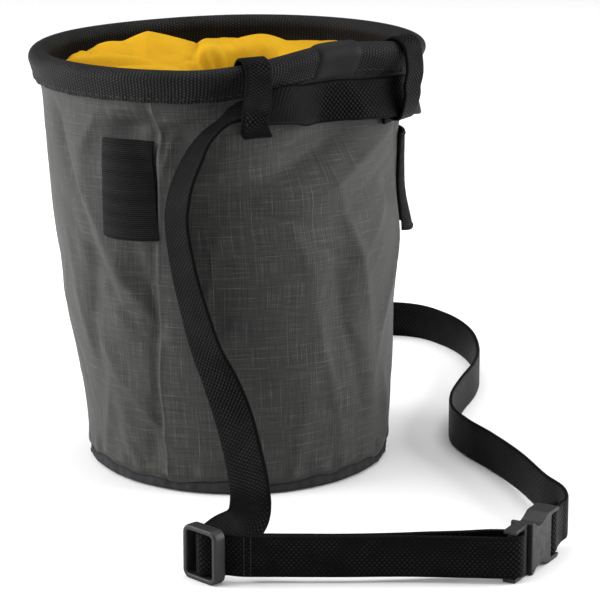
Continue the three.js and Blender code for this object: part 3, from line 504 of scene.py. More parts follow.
class Look:
    """A procedural material on its piece's own coordinates: u and v, in metres."""

    def __init__(self, name, **sockets):
        self.material = bpy.data.materials.new(name)
        self.material.use_nodes = True
        self.tree = self.material.node_tree
        self.shader = self.tree.nodes["Principled BSDF"]
        for key, value in sockets.items():
            self.shader.inputs[key.replace("_", " ")].default_value = value
        place = self.node("UVMap", uv_map="UVMap").outputs["UV"]
        parts = self.node("SeparateXYZ", {0: place}).outputs
        self.u, self.v = parts[0], parts[1]

    def node(self, kind, inputs=None, **settings):
        node = self.tree.nodes.new("ShaderNode" + kind)
        for key, value in settings.items():
            setattr(node, key, value)
        for key, value in (inputs or {}).items():
            if isinstance(value, bpy.types.NodeSocket):
                self.tree.links.new(value, node.inputs[key])
            else:
                node.inputs[key].default_value = value
        return node

    def math(self, operation, *values):
        return self.node("Math", dict(enumerate(values)), operation=operation).outputs[0]

    def add(self, a, b):
        return self.math("ADD", a, b)

    def times(self, a, b):
        return self.math("MULTIPLY", a, b)

    def wave(self, place, pitch, shift=0.0):
        return self.math("SINE", self.math("MULTIPLY_ADD", place, 2 * math.pi / pitch, shift))

    def ease(self, value, low, high, start=0.0, end=1.0):
        inputs = {0: value, 1: low, 2: high, 3: start, 4: end}
        return self.node("MapRange", inputs, interpolation_type="SMOOTHSTEP").outputs[0]

    def noise(self, u_scale, v_scale, detail=2.0, shift=0.0):
        """Noise from 0 to 1 with so many spots for each metre along u and v."""
        u, v = self.times(self.u, u_scale), self.times(self.v, v_scale)
        place = self.node("CombineXYZ", {0: u, 1: v, 2: shift}).outputs[0]
        return self.node("TexNoise", {"Vector": place, "Scale": 1.0, "Detail": detail}).outputs[0]

    def solid_noise(self, scale, detail=2.0):
        place = self.node("TexCoord").outputs["Object"]
        return self.node("TexNoise", {"Vector": place, "Scale": scale, "Detail": detail}).outputs[0]

    def colour(self, value, *stops):
        """Base colour from places on a ramp and their colours."""
        ramp = self.node("ValToRGB", {0: value})
        for k, (place, code) in enumerate(stops):
            stop = ramp.color_ramp.elements[k] if k < 2 else ramp.color_ramp.elements.new(place)
            stop.position, stop.color = place, linear(code)
        self.tree.links.new(ramp.outputs[0], self.shader.inputs["Base Color"])

    def relief(self, *layers):
        """Bumps from pairs of a height from 0 to 1 and its depth in metres."""
        normal = None
        for height, depth in layers:
            inputs = {"Height": height, "Distance": depth, "Strength": 1.0}
            if normal:
                inputs["Normal"] = normal
            normal = self.node("Bump", inputs).outputs[0]
        self.tree.links.new(normal, self.shader.inputs["Normal"])

    def rough(self, value, low, high):
        self.tree.links.new(self.ease(value, 0.3, 0.7, low, high), self.shader.inputs["Roughness"])


def ripstop_look():
    look = Look("ripstop", Specular_IOR_Level=0.2)
    slubs = look.add(look.noise(90, 2900, 2.0), look.noise(2900, 90, 2.0, 4.0))
    hatch = look.times(slubs, 0.5)
    pitch = 3.8 * MM
    lines = []
    for place, shift in ((look.u, 7.0), (look.v, 9.0)):
        off = look.math("PINGPONG", place, pitch / 2)
        strength = look.ease(look.noise(70, 70, 1.0, shift), 0.35, 0.7, 0.1, 1.0)
        lines.append(look.times(look.ease(off, 0.06 * MM, 0.24 * MM, 1.0, 0.0), strength))
    grid = look.math("MAXIMUM", *lines)
    tone = look.add(look.times(look.math("SUBTRACT", hatch, 0.5), 1.7), look.times(grid, 0.2))
    look.colour(look.add(tone, 0.42), (0.05, 0x1F1F1F), (0.5, 0x363635), (0.95, 0x605E5B))
    look.rough(hatch, 0.48, 0.62)
    weave = look.times(look.wave(look.u, 0.56 * MM), look.wave(look.v, 0.56 * MM))
    look.relief((hatch, 0.22 * MM), (grid, 0.08 * MM), (look.ease(weave, -1, 1), 0.05 * MM))
    return look.material


def base_look():
    look = Look("base_cloth", Roughness=0.85, Specular_IOR_Level=0.1)
    weave = look.times(look.wave(look.u, 0.8 * MM), look.wave(look.v, 0.8 * MM))
    threads = look.add(look.times(look.ease(weave, -1, 1), 0.6), look.times(look.noise(900, 900), 0.5))
    look.colour(threads, (0.2, 0x1C1C1D), (0.9, 0x3C3C3E))
    look.relief((threads, 0.16 * MM))
    return look.material


def grosgrain_look():
    look = Look("grosgrain", Roughness=0.6, Specular_IOR_Level=0.12)
    ribs = look.ease(look.wave(look.u, 1.2 * MM, -math.pi / 2), -0.8, 0.9)
    dots = look.ease(look.times(look.wave(look.u, 2.4 * MM), look.wave(look.v, 1.1 * MM)), -0.9, 0.9)
    height = look.add(look.times(ribs, 0.5), look.times(dots, 0.5))
    # Painted highlight: the raised ribs and dots are painted lighter the higher they stand, varied at random
    # by noise.
    painted_glint_and_tone = look.times(height, look.ease(look.noise(60, 140, 2.0), 0.3, 0.7, 0.75, 1.1))
    look.colour(painted_glint_and_tone, (0.3, 0x060606), (0.66, 0x111111), (0.95, 0x2C2C2D))
    look.relief((height, 0.28 * MM), (look.noise(1500, 1500), 0.08 * MM))
    return look.material


def patch_look():
    look = Look("smooth_patch", Specular_IOR_Level=0.12)
    grain = look.noise(1400, 1400, 3.0)
    look.colour(grain, (0.3, 0x101010), (0.75, 0x1C1C1D))
    look.rough(look.noise(120, 120), 0.5, 0.68)
    look.relief((grain, 0.05 * MM), (look.noise(70, 70, 1.0, 3.0), 0.3 * MM))
    return look.material


def yellow_look():
    look = Look("yellow_cloth", Roughness=0.6, Specular_IOR_Level=0.1)
    threads = look.noise(1500, 1500, 2.0)
    tint = look.add(look.times(threads, 0.35), look.times(look.noise(45, 45, 2.0, 5.0), 0.65))
    look.colour(tint, (0.3, 0xB08000), (0.55, 0xBE9008), (0.8, 0xCEA41C))
    weave = look.ease(look.times(look.wave(look.u, 0.5 * MM), look.wave(look.v, 0.5 * MM)), -1, 1)
    look.relief((weave, 0.05 * MM), (look.noise(260, 260, 2.0, 2.0), 0.22 * MM))
    return look.material


def elastic_look():
    look = Look("elastic", Roughness=0.7, Specular_IOR_Level=0.08)
    cords = look.ease(look.wave(look.v, SLEEVE_CORD), -1, 1)
    threads = look.add(look.times(cords, 0.5), look.times(look.noise(2400, 700, 2.0), 0.5))
    look.colour(threads, (0.3, 0x060606), (0.85, 0x202021))
    look.relief((threads, 0.12 * MM))
    return look.material


def webbing_look(name, width, along, across, light):
    """Black webbing with staggered floats and smooth edges; its raised floats and edge ribs are painted
    lighter as a painted highlight.
    """
    look = Look(name, Roughness=0.45, Specular_IOR_Level=0.04)
    half = strap_half(width)
    aside = look.math("ABSOLUTE", look.math("WRAP", look.v, half / 2, -half / 2))
    body = look.ease(aside, width / 2 - 1.3 * MM, width / 2 - 0.7 * MM, 1.0, 0.0)
    dots = look.ease(look.times(look.wave(look.u, along), look.wave(look.v, across)), -0.5, 0.95)
    edge = look.ease(look.wave(look.u, 0.7 * MM), -1, 1)
    bare = look.math("SUBTRACT", 0.6, look.times(body, 0.6))
    height = look.add(look.times(dots, body), look.times(edge, bare))
    # Painted highlight: the higher a float or edge rib stands, the lighter it is painted, varied at random by
    # noise.
    painted_glint_and_tone = look.times(height, look.ease(look.noise(120, 120, 2.0), 0.3, 0.7, 0.7, 1.1))
    # The lightest stop, the colour passed in as light, is the colour of the painted highlight on the floats.
    look.colour(painted_glint_and_tone, (0.3, 0x040404), (0.66, 0x0A0A0A), (0.95, light))
    look.relief((height, 0.22 * MM), (look.noise(1800, 900), 0.06 * MM))
    return look.material


def plastic_look():
    look = Look("plastic", Specular_IOR_Level=0.3)
    grain = look.solid_noise(2600.0, 3.0)
    tint = look.add(look.times(grain, 0.4), look.times(look.solid_noise(90.0), 0.6))
    look.colour(tint, (0.3, 0x161617), (0.7, 0x202021))
    look.rough(look.solid_noise(300.0), 0.42, 0.58)
    look.relief((grain, 0.03 * MM))
    return look.material


def thread_look():
    look = Look("thread", Roughness=0.55, Specular_IOR_Level=0.2)
    twist = look.solid_noise(2400.0)
    look.colour(twist, (0.3, 0x121212), (0.8, 0x303030))
    look.relief((twist, 0.05 * MM))
    return look.material


# Straps
FACE_POINTS = 15


def strap_profile(width, thickness):
    """Rounded section of a strap: shares of its half width and half thickness, from one edge of its face."""
    bend = thickness / width
    face = np.linspace(-1 + bend, 1 - bend, FACE_POINTS)
    turn = np.radians(np.arange(60, -90, -30))
    right = np.stack([1 - bend + bend * np.cos(turn), np.sin(turn)], -1)
    front = np.stack([face, np.ones_like(face)], -1)
    half = np.concatenate([front, right])
    return np.concatenate([half, -half])


def strap_half(width):
    """From the middle of a belt's face round its edge to the middle of its back."""
    return width + (math.pi / 2 - 1) * BELT_THICKNESS


def spline(knots, place):
    """Centripetal curve through points, at places counted in points."""
    knots = np.asarray(knots)
    last = len(knots) - 1
    at = np.clip(np.floor(place).astype(int), 0, last - 1)
    w = (np.clip(place, 0, last) - at)[:, None]
    wide = np.vstack([2 * knots[:1] - knots[1:2], knots, 2 * knots[-1:] - knots[-2:-1]])
    p0, p1, p2, p3 = (wide[at + k] for k in range(4))
    gap = [np.sum((b - a) ** 2, -1, keepdims=True) ** 0.25 for a, b in ((p0, p1), (p1, p2), (p2, p3))]
    g1 = np.where(gap[1] < 1e-4, 1.0, gap[1])
    g0, g2 = np.where(gap[0] < 1e-4, g1, gap[0]), np.where(gap[2] < 1e-4, g1, gap[2])
    m1 = ((p1 - p0) / g0 - (p2 - p0) / (g0 + g1) + (p2 - p1) / g1) * g1
    m2 = ((p2 - p1) / g1 - (p3 - p1) / (g1 + g2) + (p3 - p2) / g2) * g1
    ends = (2 * w**3 - 3 * w**2 + 1) * p1 + (3 * w**2 - 2 * w**3) * p2
    return ends + (w**3 - 2 * w**2 + w) * m1 + (w**3 - w**2) * m2


def strap_frames(stations, place, width, floor=False):
    """Middle points and directions along, across and out of a strap at places counted in stations."""
    middles, acrosses = np.array([s[0] for s in stations]), np.array([s[1] for s in stations])
    step = (len(stations) - 1) * 1e-4
    at = spline(middles, place)
    along = unit(spline(middles, place + step) - spline(middles, place - step))
    wide = spline(acrosses, place)
    if floor:
        at[:, 2] = np.maximum(at[:, 2], width / 2 * np.abs(wide[:, 2]))
    wide = unit(wide - along * np.sum(wide * along, -1, keepdims=True))
    return at, along, wide, np.cross(along, wide)


def strap(name, stations, place, width, thickness, material, replaces, floor=False):
    at, along, wide, thick = strap_frames(stations, place, width, floor)
    profile = strap_profile(width, thickness)
    points = (
        at[:, None] + wide[:, None] * (profile[:, 0] * width / 2)[None, :, None]
        + thick[:, None] * (profile[:, 1] * thickness / 2)[None, :, None]
    )
    uv = metric_uv(points, (False, True))
    uv[..., 1] -= uv[0, FACE_POINTS // 2, 1]  # v is 0 along the middle of the face
    return lattice(name, points, material, replaces, uv=uv, sharp=70)


# Bag pieces
def hem_rise(side):
    """How far the sewn hem pulls up between its gathers."""
    a = np.radians(side)
    return MM * (1.1 + 0.7 * np.sin(7 * a + 0.6) + 0.5 * np.sin(12 * a + 2.2) + 0.3 * np.sin(23 * a))


def foot_pucker(side, height):
    """Gathers of the cloth just above its sewn lower edge."""
    rise = (height - HEM_HEIGHT) / MM
    pull = np.sin(np.radians(side) * 31 + 1.3 * np.sin(np.radians(side) * 5))
    pull = pull + 0.5 * np.sin(np.radians(side) * 53 + 2)
    gathers = 0.35 * pull * np.exp(-(((rise - 4) / 4) ** 2))
    return MM * (gathers - (1.1 + 0.25 * pull) * np.exp(-((rise / 1.5) ** 2)))


# The seam's way up the shell. up: share of the bag's height. side: degrees.
SEAM_ROWS = dict(
    up=(0.0, 0.26, 0.391, 0.524, 0.675, 0.845, 0.927, 1.05),
    side=(-116, -116, -113, -113, -110, -109, -112, -112),
)


def seam_side(height):
    return column(SEAM_ROWS, "up", "side", height / BAG_HEIGHT)


def cloth_rise(side, height, small_creases):
    """Fine shape of the shell's cloth, off the solid's wall. past: degrees to the right of the seam."""
    share = height / BAG_HEIGHT
    rise = fold_depth(side, height, SHELL_CREASES, 1.25) + fold_depth(side, height, small_creases, 1.5)
    past = turn_between(side, seam_side(height))
    seam = smoothstep(share, 0.0, 0.06) * (1 - smoothstep(share, 0.9, 0.94))
    step = smoothstep(past, -0.15, 0.15) * np.exp(-np.maximum(past, 0) / 7)
    ridge = np.exp(-((past - 0.7) ** 2) / 0.5) * 0.5 + step
    groove = -1.1 * np.exp(-((past + 1.4) ** 2) / 4)
    return rise + seam * SEAM_STEP * (ridge + groove) + foot_pucker(side, height)


def random_creases(rng):
    return [
        dict(side=rng.uniform(-180, 180), up=rng.uniform(0.08, 0.9), wide=rng.uniform(0.02, 0.05),
             tall=rng.uniform(0.03, 0.1), slant=rng.uniform(-80, 80), out=CREASE_OUT * rng.uniform(-1, 1))
        for _ in range(CREASE_COUNT)
    ]


def bag_shell(material):
    """The shell's cloth: closer columns at its seam and closer rows at its hem."""
    small_creases = random_creases(np.random.default_rng(11))
    near = SEAM_SIDE + np.concatenate([np.linspace(-3, -0.3, 8), [-0.12, 0.12], np.linspace(0.3, 3, 8)])
    rest = np.linspace(SEAM_SIDE + 4, SEAM_SIDE + 356, 300)
    sides = np.concatenate([near, rest])
    hem = np.linspace(HEM_HEIGHT, HEM_HEIGHT + 8 * MM, 14)
    up = np.concatenate([hem, np.linspace(HEM_HEIGHT + 9 * MM, SHELL_TOP, 130)])
    inside = np.linspace(SHELL_TOP, HEM_HEIGHT, 24)
    side, height = np.meshgrid(sides, np.concatenate([up, inside]), indexing="ij")
    away = turn_between(side, SEAM_SIDE)
    shifted = side + (seam_side(height) - SEAM_SIDE) * np.exp(-((away / SEAM_BLEND) ** 2))
    outer = np.arange(len(up) + len(inside)) < len(up)
    off = np.where(outer, cloth_rise(shifted, height, small_creases), -SHELL_WALL)
    points = wall(shifted, height, off)
    points[..., 2] += hem_rise(shifted) * np.exp(-(((height - HEM_HEIGHT) / (9 * MM)) ** 2))
    # UVs in metres, as on a straight tube of the bag's middle radius
    round_the_bag = np.radians(np.append(sides, sides[0] + 360)) * mix(BASE_RADIUS, MOUTH_HALF_WIDTH, 0.4)
    along_the_wall = np.append(np.cumsum(np.abs(np.diff(height[0], prepend=height[0, 0]))), 0.5)
    uv = np.stack(np.meshgrid(round_the_bag, along_the_wall, indexing="ij"), -1)
    return lattice("bag_shell_cloth", points, material, ["bag_shell"], (True, True), uv)


# The base's edge. up: share of its thickness. inset: millimetres inside the shell's outer face.
BASE_RINGS = dict(
    up=(0.0, 0.03, 0.16, 0.36, 0.56, 0.76, 0.9, 1.0),
    inset=(3.2, 2.0, 1.0, 0.5, 0.45, 0.6, 1.0, 2.0),
)


def base_panel(material):
    sides = np.linspace(-180, 180, 360, endpoint=False)
    ripple = 0.22 * MM * (np.sin(np.radians(sides) * 29) + np.sin(np.radians(sides) * 67 + 1))
    rings = []
    for up, inset in zip(BASE_RINGS["up"], BASE_RINGS["inset"]):
        ring = wall(sides, HEM_HEIGHT, -inset * MM + ripple * (0.3 < up < 0.95))
        ring[:, 2] = up * (BASE_THICKNESS + CLEARANCE + hem_rise(sides))
        rings.append(ring)
    return lattice("base_panel_cloth", np.array(rings), material, ["base_panel"])


def binding_path(extra):
    """Offsets, levels and rises of the binding's outside, from its outer edge over to its inner one."""
    roll = ROLL_DIAMETER / 2 + extra
    turn = np.radians(np.arange(-25, 205.1, 10))
    legs = np.linspace(BINDING_EDGE, SHELL_TOP - ROLL_DIAMETER * 0.22, 7)
    outer = np.full(len(legs), CLEARANCE + BINDING_THICKNESS + extra)
    inner = np.full(len(legs), -SHELL_WALL - CLEARANCE - BINDING_THICKNESS - extra)
    off = np.concatenate([outer, -SHELL_WALL / 2 + roll * np.cos(turn), inner])
    height = np.concatenate([legs, np.full(len(turn), ROLL_LEVEL), legs[::-1]])
    rise = np.concatenate([0 * legs, roll * np.sin(turn), 0 * legs])
    return off, height, rise


def binding_points(sides, extra, puff=0.0):
    """Grid over the binding. puff: how far its edges pucker between the stitches."""
    off, height, rise = binding_path(extra)
    side, around = sides[:, None], np.radians(sides)[:, None]
    low = np.exp(-(((height - BINDING_EDGE) / (2.2 * MM)) ** 2))
    way = np.where(off > -SHELL_WALL / 2, 1.0, -1.0)
    pull = np.sin(around * 47 + 2 * np.sin(around * 3)) + 0.6 * np.sin(around * 101)
    points = wall(side, height[None], off[None] + way * low * pull * puff)
    points[..., 2] += rise + 0.9 * puff * low * np.sin(around * 29)
    return points


def rim_binding(material):
    sides = np.linspace(-180, 180, 400, endpoint=False)
    outside = binding_points(sides, 0.0, 0.14 * MM)
    inner = [(-SHELL_WALL - CLEARANCE, BINDING_EDGE), (-SHELL_WALL - CLEARANCE, SHELL_TOP + CLEARANCE),
             (CLEARANCE, SHELL_TOP + CLEARANCE), (CLEARANCE, BINDING_EDGE)]
    inside = np.stack([wall(sides, height, off) for off, height in inner], 1)
    points = np.concatenate([outside, inside], 1)
    return lattice("rim_binding_tape", points, material, ["rim_binding"], (True, True))


def rim_patch(material):
    sides = np.linspace(-56, -36, 40)
    extra = mix(0.1, 0.75, 1 - np.linspace(-1, 1, 40) ** 10) * MM
    outside = np.concatenate([binding_points(np.array([s]), e) for s, e in zip(sides, extra)])
    inside = binding_points(sides, 0.02 * MM)[:, ::-1]
    points = np.concatenate([outside, inside], 1)
    return lattice("rim_patch_tape", points, material, ["rim_joint_patch"])


def rim_stitches(material):
    turns = np.arange(-180, 180, STITCH_TURN)
    sides = [
        (CLEARANCE + BINDING_THICKNESS, BINDING_EDGE + 1.5 * MM, 1),
        (-SHELL_WALL - CLEARANCE - BINDING_THICKNESS, BINDING_EDGE + 1.6 * MM, -1),
    ]
    rows = []
    for off, height, way in sides:
        at = wall(turns, height, off + 0.05 * MM * way)
        along = wall(turns + 1, height, off) - wall(turns - 1, height, off)
        rows.append((at, along, outward_at(turns, height) * way))
    return stitches("rim_binding_stitches", rows, material)


# Closure
def turned(row, x, y):
    c, s = math.cos(math.radians(row["turn"])), math.sin(math.radians(row["turn"]))
    return (x - row["x"]) * c + (y - row["y"]) * s, (y - row["y"]) * c - (x - row["x"]) * s


def puffed(x, y, floor_level):
    """Level of the cloth in millimetres where its puffs press against each other, less the pleats."""
    blend = 0.35
    total = np.exp(floor_level / blend)
    for puff in PUFFS:
        u, v = turned(puff, x, y)
        across = np.abs(u) / np.where(u < 0, puff["left"], puff["right"])
        deep = np.abs(v) / np.where(v < 0, puff["front"], puff["back"])
        total = total + np.exp(puff["rise"] * (1 - across ** puff["crest"] - deep ** puff["crest"]) / blend)
    level = blend * np.log(total)
    for pleat in PLEATS:
        u, v = turned(pleat, x, y)
        level = level - pleat["deep"] * np.exp(-np.abs(u / pleat["wide"]) ** 1.3 - (v / pleat["long"]) ** 4)
    return level


def skirt_point(side, share, off, gathers):
    """Points of the closure at a share of the way from its sewn edge to the throat."""
    edge = wall(side, BINDING_EDGE, -SHELL_WALL - CLEARANCE - BINDING_THICKNESS - 0.1 * MM)
    a = np.radians(side)
    throat_x = THROAT_RADIUS * THROAT_STRETCH["across"] * np.cos(a) + THROAT_SHIFT["across"] * MOUTH_HALF_WIDTH
    throat_y = THROAT_RADIUS * THROAT_STRETCH["deep"] * np.sin(a) + THROAT_SHIFT["deep"] * MOUTH_HALF_DEPTH
    x, y = mix(edge[..., 0], throat_x, share), mix(edge[..., 1], throat_y, share)
    base = column(SKIRT_RINGS, "in", "rise", share)
    level = mix(edge[..., 2], BINDING_EDGE, share)
    from_edge = share * THROAT_WAY
    pleats = 0.0
    for at, size, reach in gathers:
        ridge = np.exp(-((turn_between(side, at) / GATHER_WIDTH) ** 2))
        pleats = pleats + size * ridge * np.exp(-(from_edge / reach))
    throat_folds = np.sin(a * 17 + 2 * np.sin(a * 3)) * 0.8 * MM * smoothstep(share, 0.72, 1.0)
    floor_level = level + SKIRT_RISE * base
    loose = smoothstep(share, 0.0, 0.14) * (1 - smoothstep(share, 0.82, 1.0))
    full = puffed(x / MM, y / MM, (floor_level - BINDING_EDGE) / MM) * MM + BINDING_EDGE
    z = mix(floor_level, full, loose) + (pleats + throat_folds) * smoothstep(share, 0.0, 0.03) + off
    return point(x, y, z)


def closure_skirt(material):
    rng = np.random.default_rng(5)
    gathers = [
        (rng.uniform(-180, 180), rng.uniform(-0.9, 1.4) * MM, rng.uniform(3, 9) * MM)
        for _ in range(GATHER_COUNT)
    ]
    sides = np.linspace(-180, 180, 400, endpoint=False)[:, None]
    down, back = np.linspace(0, 1, 110), np.linspace(1, 0, 44)
    top = skirt_point(sides, down[None], 0.0, gathers)
    under = skirt_point(sides, back[None], -SKIRT_THICKNESS, gathers)
    points = np.concatenate([top, under], 1)
    replaces, rings = ["closure_skirt"], (True, True)
    return lattice("closure_cloth", points, material, replaces, rings, sharp=80)


# Brush sleeves
def brush_sleeve(name, row, material):
    height = row["up"] * BAG_HEIGHT
    half_turn = math.degrees(SLEEVE_WIDTH / 2 / mix(BASE_RADIUS, MOUTH_HALF_WIDTH, 0.55))
    place, level = np.linspace(0, 1, 30)[:, None], np.linspace(0, 1, 180)[None]
    lean = row["lean"] * (level - 0.3)
    side = row["side"] + mix(-half_turn, half_turn, place) + lean * (1 - place)
    bow = np.sin(math.pi * place**0.75) ** 0.8
    flare = row["foot"] * (1 - level) ** 3 + row["top"] * level**3
    off = 2 * CLEARANCE + bow * (SLEEVE_BOW + flare)
    ribs = 0.13 * MM * np.sin(level * SLEEVE_HEIGHT / SLEEVE_CORD * 2 * math.pi)
    hem = 0.3 * MM * np.exp(-(((np.abs(level - 0.5) - 0.47) / 0.012) ** 2))
    up = height + (level - 0.5) * SLEEVE_HEIGHT + 0.5 * MM * (bow - 0.5) * np.sign(level - 0.5)
    outer = wall(side, up, off + SLEEVE_THICKNESS * (0.55 + 0.45 * bow) + ribs + hem)
    inner = wall(side, up, off)[:, ::-1]
    return lattice(name, np.concatenate([outer, inner], 1), material, [name.replace("_band", "")])


# Belt stations: a middle point and the direction across
def band_station(side, up, turn, lean):
    across = direction(turn, lean)
    level = up * BELT_LEVEL
    upper_edge = outline(side, min(level - BELT_WIDTH / 2 * across[2], BINDING_EDGE))
    flare = float(np.dot(upper_edge - outline(side, level), outward_at(side, level)))
    off = BELT_SEAT + BELT_WIDTH / 2 * math.cos(math.radians(lean)) + max(flare, 0)
    return wall(side, level, off), across


def drop_station(across, out, up, turn, lean):
    way = direction(turn, lean)
    height, x = up * BELT_LEVEL, across * BASE_RADIUS
    side = -90 + math.degrees(math.asin(x / mix(BASE_RADIUS, MOUTH_HALF_WIDTH, up)))
    room = BELT_SEAT + BELT_WIDTH / 2 * abs(way[1])
    return np.array((x, wall(side, height)[1] - room - out * FRONT_REACH, height)), way


def hidden_station(side, out, up, lean):
    height = mix(BELT_WIDTH / 2, BELT_LEVEL, up)
    off = BELT_SEAT + BELT_WIDTH / 2 * math.cos(math.radians(lean)) + out * BACK_REACH
    return wall(side, height, off), direction(side, lean)


FRONT_LINE = -(BASE_RADIUS + FRONT_REACH)
SIDE_LINE = BASE_RADIUS + SIDE_REACH
BACK_LINE = BASE_RADIUS + BACK_REACH
SLIDER_AT = np.array((SLIDER_SHIFT, FRONT_LINE + SLIDER_DEPTH / 2, SLIDER_HEIGHT / 2))
SLIDER_ALONG = direction(-45)
SLIDER_FACE = np.cross(SLIDER_ALONG, UP)
SOCKET_BAR = BUCKLE_LENGTH - BAR_WIDTH / 2 - SOCKET_END
BUCKLE_ALONG = direction(61.3)
BUCKLE_FACE = np.cross(BUCKLE_ALONG, UP)
BAR_SPOT = np.array((SLIDER_SHIFT + FRONT_RUN, FRONT_LINE + LAYER_GAP / 2 - CLEARANCE * 3, BUCKLE_WIDTH / 2))
BUCKLE_AT = BAR_SPOT - BUCKLE_ALONG * PLUG_BAR
WRAP = BAR_WIDTH / math.sqrt(2) + CLEARANCE + BELT_THICKNESS / 2


def slider_station(along, face):
    return SLIDER_AT + SLIDER_ALONG * along + SLIDER_FACE * face, DOWN


def buckle_station(along, face):
    return BUCKLE_AT + BUCKLE_ALONG * along + BUCKLE_FACE * face, DOWN


def socket_stations():
    pair = (BELT_THICKNESS + CLEARANCE) / 2
    turns = [buckle_station(SOCKET_BAR + WRAP * math.cos(math.radians(a)), WRAP * math.sin(math.radians(a)))
             for a in (-90, -130, 180, 130, 90)]
    return [
        buckle_station(SOCKET_BAR + SEWN_TAIL, -pair),
        buckle_station(SOCKET_BAR + SEWN_TAIL / 2, -mix(pair, WRAP, 0.4)),
        *turns,
        buckle_station(SOCKET_BAR + SEWN_TAIL / 2, mix(pair, WRAP, 0.4)),
        buckle_station(SOCKET_BAR + SEWN_TAIL, pair),
        buckle_station(SOCKET_BAR + SEWN_TAIL * 1.4, pair * 0.9),
    ]


def side_stations():
    stations = []
    for i, (x, y) in enumerate(zip(SIDE_ROWS["x"][::-1], SIDE_ROWS["y"][::-1])):
        settle = max(0, 1 - i / 3) * (BUCKLE_WIDTH - BELT_WIDTH) * 0.4
        reach = -FRONT_LINE if y < 0 else BACK_LINE
        stations.append((np.array((x * SIDE_LINE, y * reach, BELT_WIDTH / 2 + settle)), DOWN))
    return stations


def slider_stations():
    side = SLIDER_BAR / 2 + (SLIDER_LENGTH - 2 * SLIDER_RIM - SLIDER_BAR) / 4
    behind = SLIDER_DEPTH / 2 + 1.8 * MM
    return [
        slider_station(-side - 1.6 * MM, -behind),
        slider_station(-side, -0.8 * MM),
        slider_station(0, BAR_DEPTH / 2 - BAR_BACK + 2 * CLEARANCE + BELT_THICKNESS / 2),
        slider_station(side, -0.8 * MM),
        slider_station(side + 2 * MM, -behind),
    ]


def front_level(along):
    return mix(SLIDER_HEIGHT, BUCKLE_WIDTH, along) / 2


def layer_y(along):
    return FRONT_LINE + float(column(FRONT_ROWS, "along", "bow", along)) * LAYER_GAP


def front_stations():
    return [
        (np.array((SLIDER_SHIFT + along * FRONT_RUN, layer_y(along), front_level(along))), DOWN)
        for along in FRONT_ROWS["along"]
    ]


def turn_stations():
    middle = BAR_SPOT + np.array((WRAP - LAYER_GAP / 2, 0, 0))
    return [(middle + direction(a) * LAYER_GAP / 2, DOWN) for a in (-80, -40, 0, 40, 80)]


def back_stations():
    stations = []
    for along, open_share in zip(BACK_ROWS["along"], BACK_ROWS["open"]):
        apart = mix(BELT_THICKNESS + CLEARANCE, LAYER_GAP, open_share)
        y = mix(layer_y(min(along, FRONT_ROWS["along"][-1])), FRONT_LINE, open_share * 0.5) + apart
        stations.append((np.array((SLIDER_SHIFT + along * FRONT_RUN, y, front_level(along))), DOWN))
    return stations


RUNS = [
    socket_stations() + side_stations(),
    [hidden_station(**row) for row in HIDDEN_ROWS[::-1]],
    [band_station(**row) for row in BAND_ROWS],
    [drop_station(**row) for row in DROP_ROWS],
    slider_stations() + front_stations() + turn_stations() + back_stations(),
]
STATIONS = [station for run in RUNS for station in run]


def belt(material):
    cuts = np.cumsum([0] + [len(run) for run in RUNS]) - 0.5
    cuts[0], cuts[-1] = 0, len(STATIONS) - 1
    names = ["belt_side", "belt_back", "belt_band", "belt_drop", "belt_front"]
    for name, start, end, steps in zip(names, cuts[:-1], cuts[1:], (420, 220, 160, 320, 420)):
        place = np.linspace(start, end, steps)
        strap(name + "_webbing", STATIONS, place, BELT_WIDTH, BELT_THICKNESS, material, [name], floor=True)


def loop_path(side, reach, apex, corner, full, sewn, turn, slip):
    """Stations of a loop, from its inner end over the rim and round the belt to its sewn foot."""
    skin = ROLL_DIAMETER / 2 + 3 * CLEARANCE + LOOP_THICKNESS / 2
    middle = -SHELL_WALL / 2
    inner = -SHELL_WALL - BINDING_THICKNESS - 4 * CLEARANCE - LOOP_THICKNESS / 2
    out = CLEARANCE + LOOP_THICKNESS / 2

    def level(off, height, rise=0.0, share=0.0):
        place = side + turn * share
        across = np.cross(outward_at(place, height), UP)
        return wall(place, height, off) + across * slip * max(off - skin, 0) + UP * rise, across

    over = [level(middle + skin * math.cos(math.radians(a)), ROLL_LEVEL, skin * math.sin(math.radians(a)))
            for a in (170, 140, 110, 80, 50, 20)]
    return [
        level(inner, BINDING_EDGE + LOOP_END),
        *over,
        level(mix(skin, reach, 0.42), mix(ROLL_LEVEL, apex * BELT_LEVEL, 0.42)),
        level(reach * 0.93 + out, mix(ROLL_LEVEL, apex * BELT_LEVEL, 0.75)),
        level(reach + out, apex * BELT_LEVEL),
        level(mix(out, reach, full), corner * BELT_LEVEL, 0, 0.7),
        level(out * 1.4, sewn * BELT_LEVEL, 0, 1),
        level(out, sewn * BELT_LEVEL - LOOP_END, 0, 1),
    ]


def belt_loops(material):
    for name, row in LOOP_ROWS.items():
        path = loop_path(**row)
        place, node = np.linspace(0, len(path) - 1, 220), f"belt_loop_{name}"
        strap(node + "_webbing", path, place, LOOP_WIDTH, LOOP_THICKNESS, material, [node])


def belt_tacks(material):
    """Rows of stitches across the belt where its layers are sewn to each other."""
    last, front = len(STATIONS) - 1, len(STATIONS) - len(RUNS[-1])
    # Places counted in stations, and the side of the strap that each row of stitches is on
    places = [
        (front + 0.75, front + 0.95, front + 1.15),
        (front + 5.1, front + 5.3),
        (0.25, 0.55),
        (0.25, 0.55),
        (last - 0.15, last - 0.35),
    ]
    ways = (-1, -1, -1, 1, 1)
    rows = []
    for place, way in zip(places, ways):
        at, along, wide, thick = strap_frames(STATIONS, np.array(place), BELT_WIDTH, True)
        face = np.sign(thick @ np.array((0, -1, 0)))[:, None] * -way
        for share in np.linspace(-0.84, 0.84, TACKS_ACROSS):
            spots = at + wide * share * BELT_WIDTH / 2 + thick * face * (BELT_THICKNESS / 2 + 0.05 * MM)
            rows.append((spots, wide, thick * face))
    return stitches("belt_tack_stitches", rows, material, TACK_LENGTH, TACK_WIDTH)


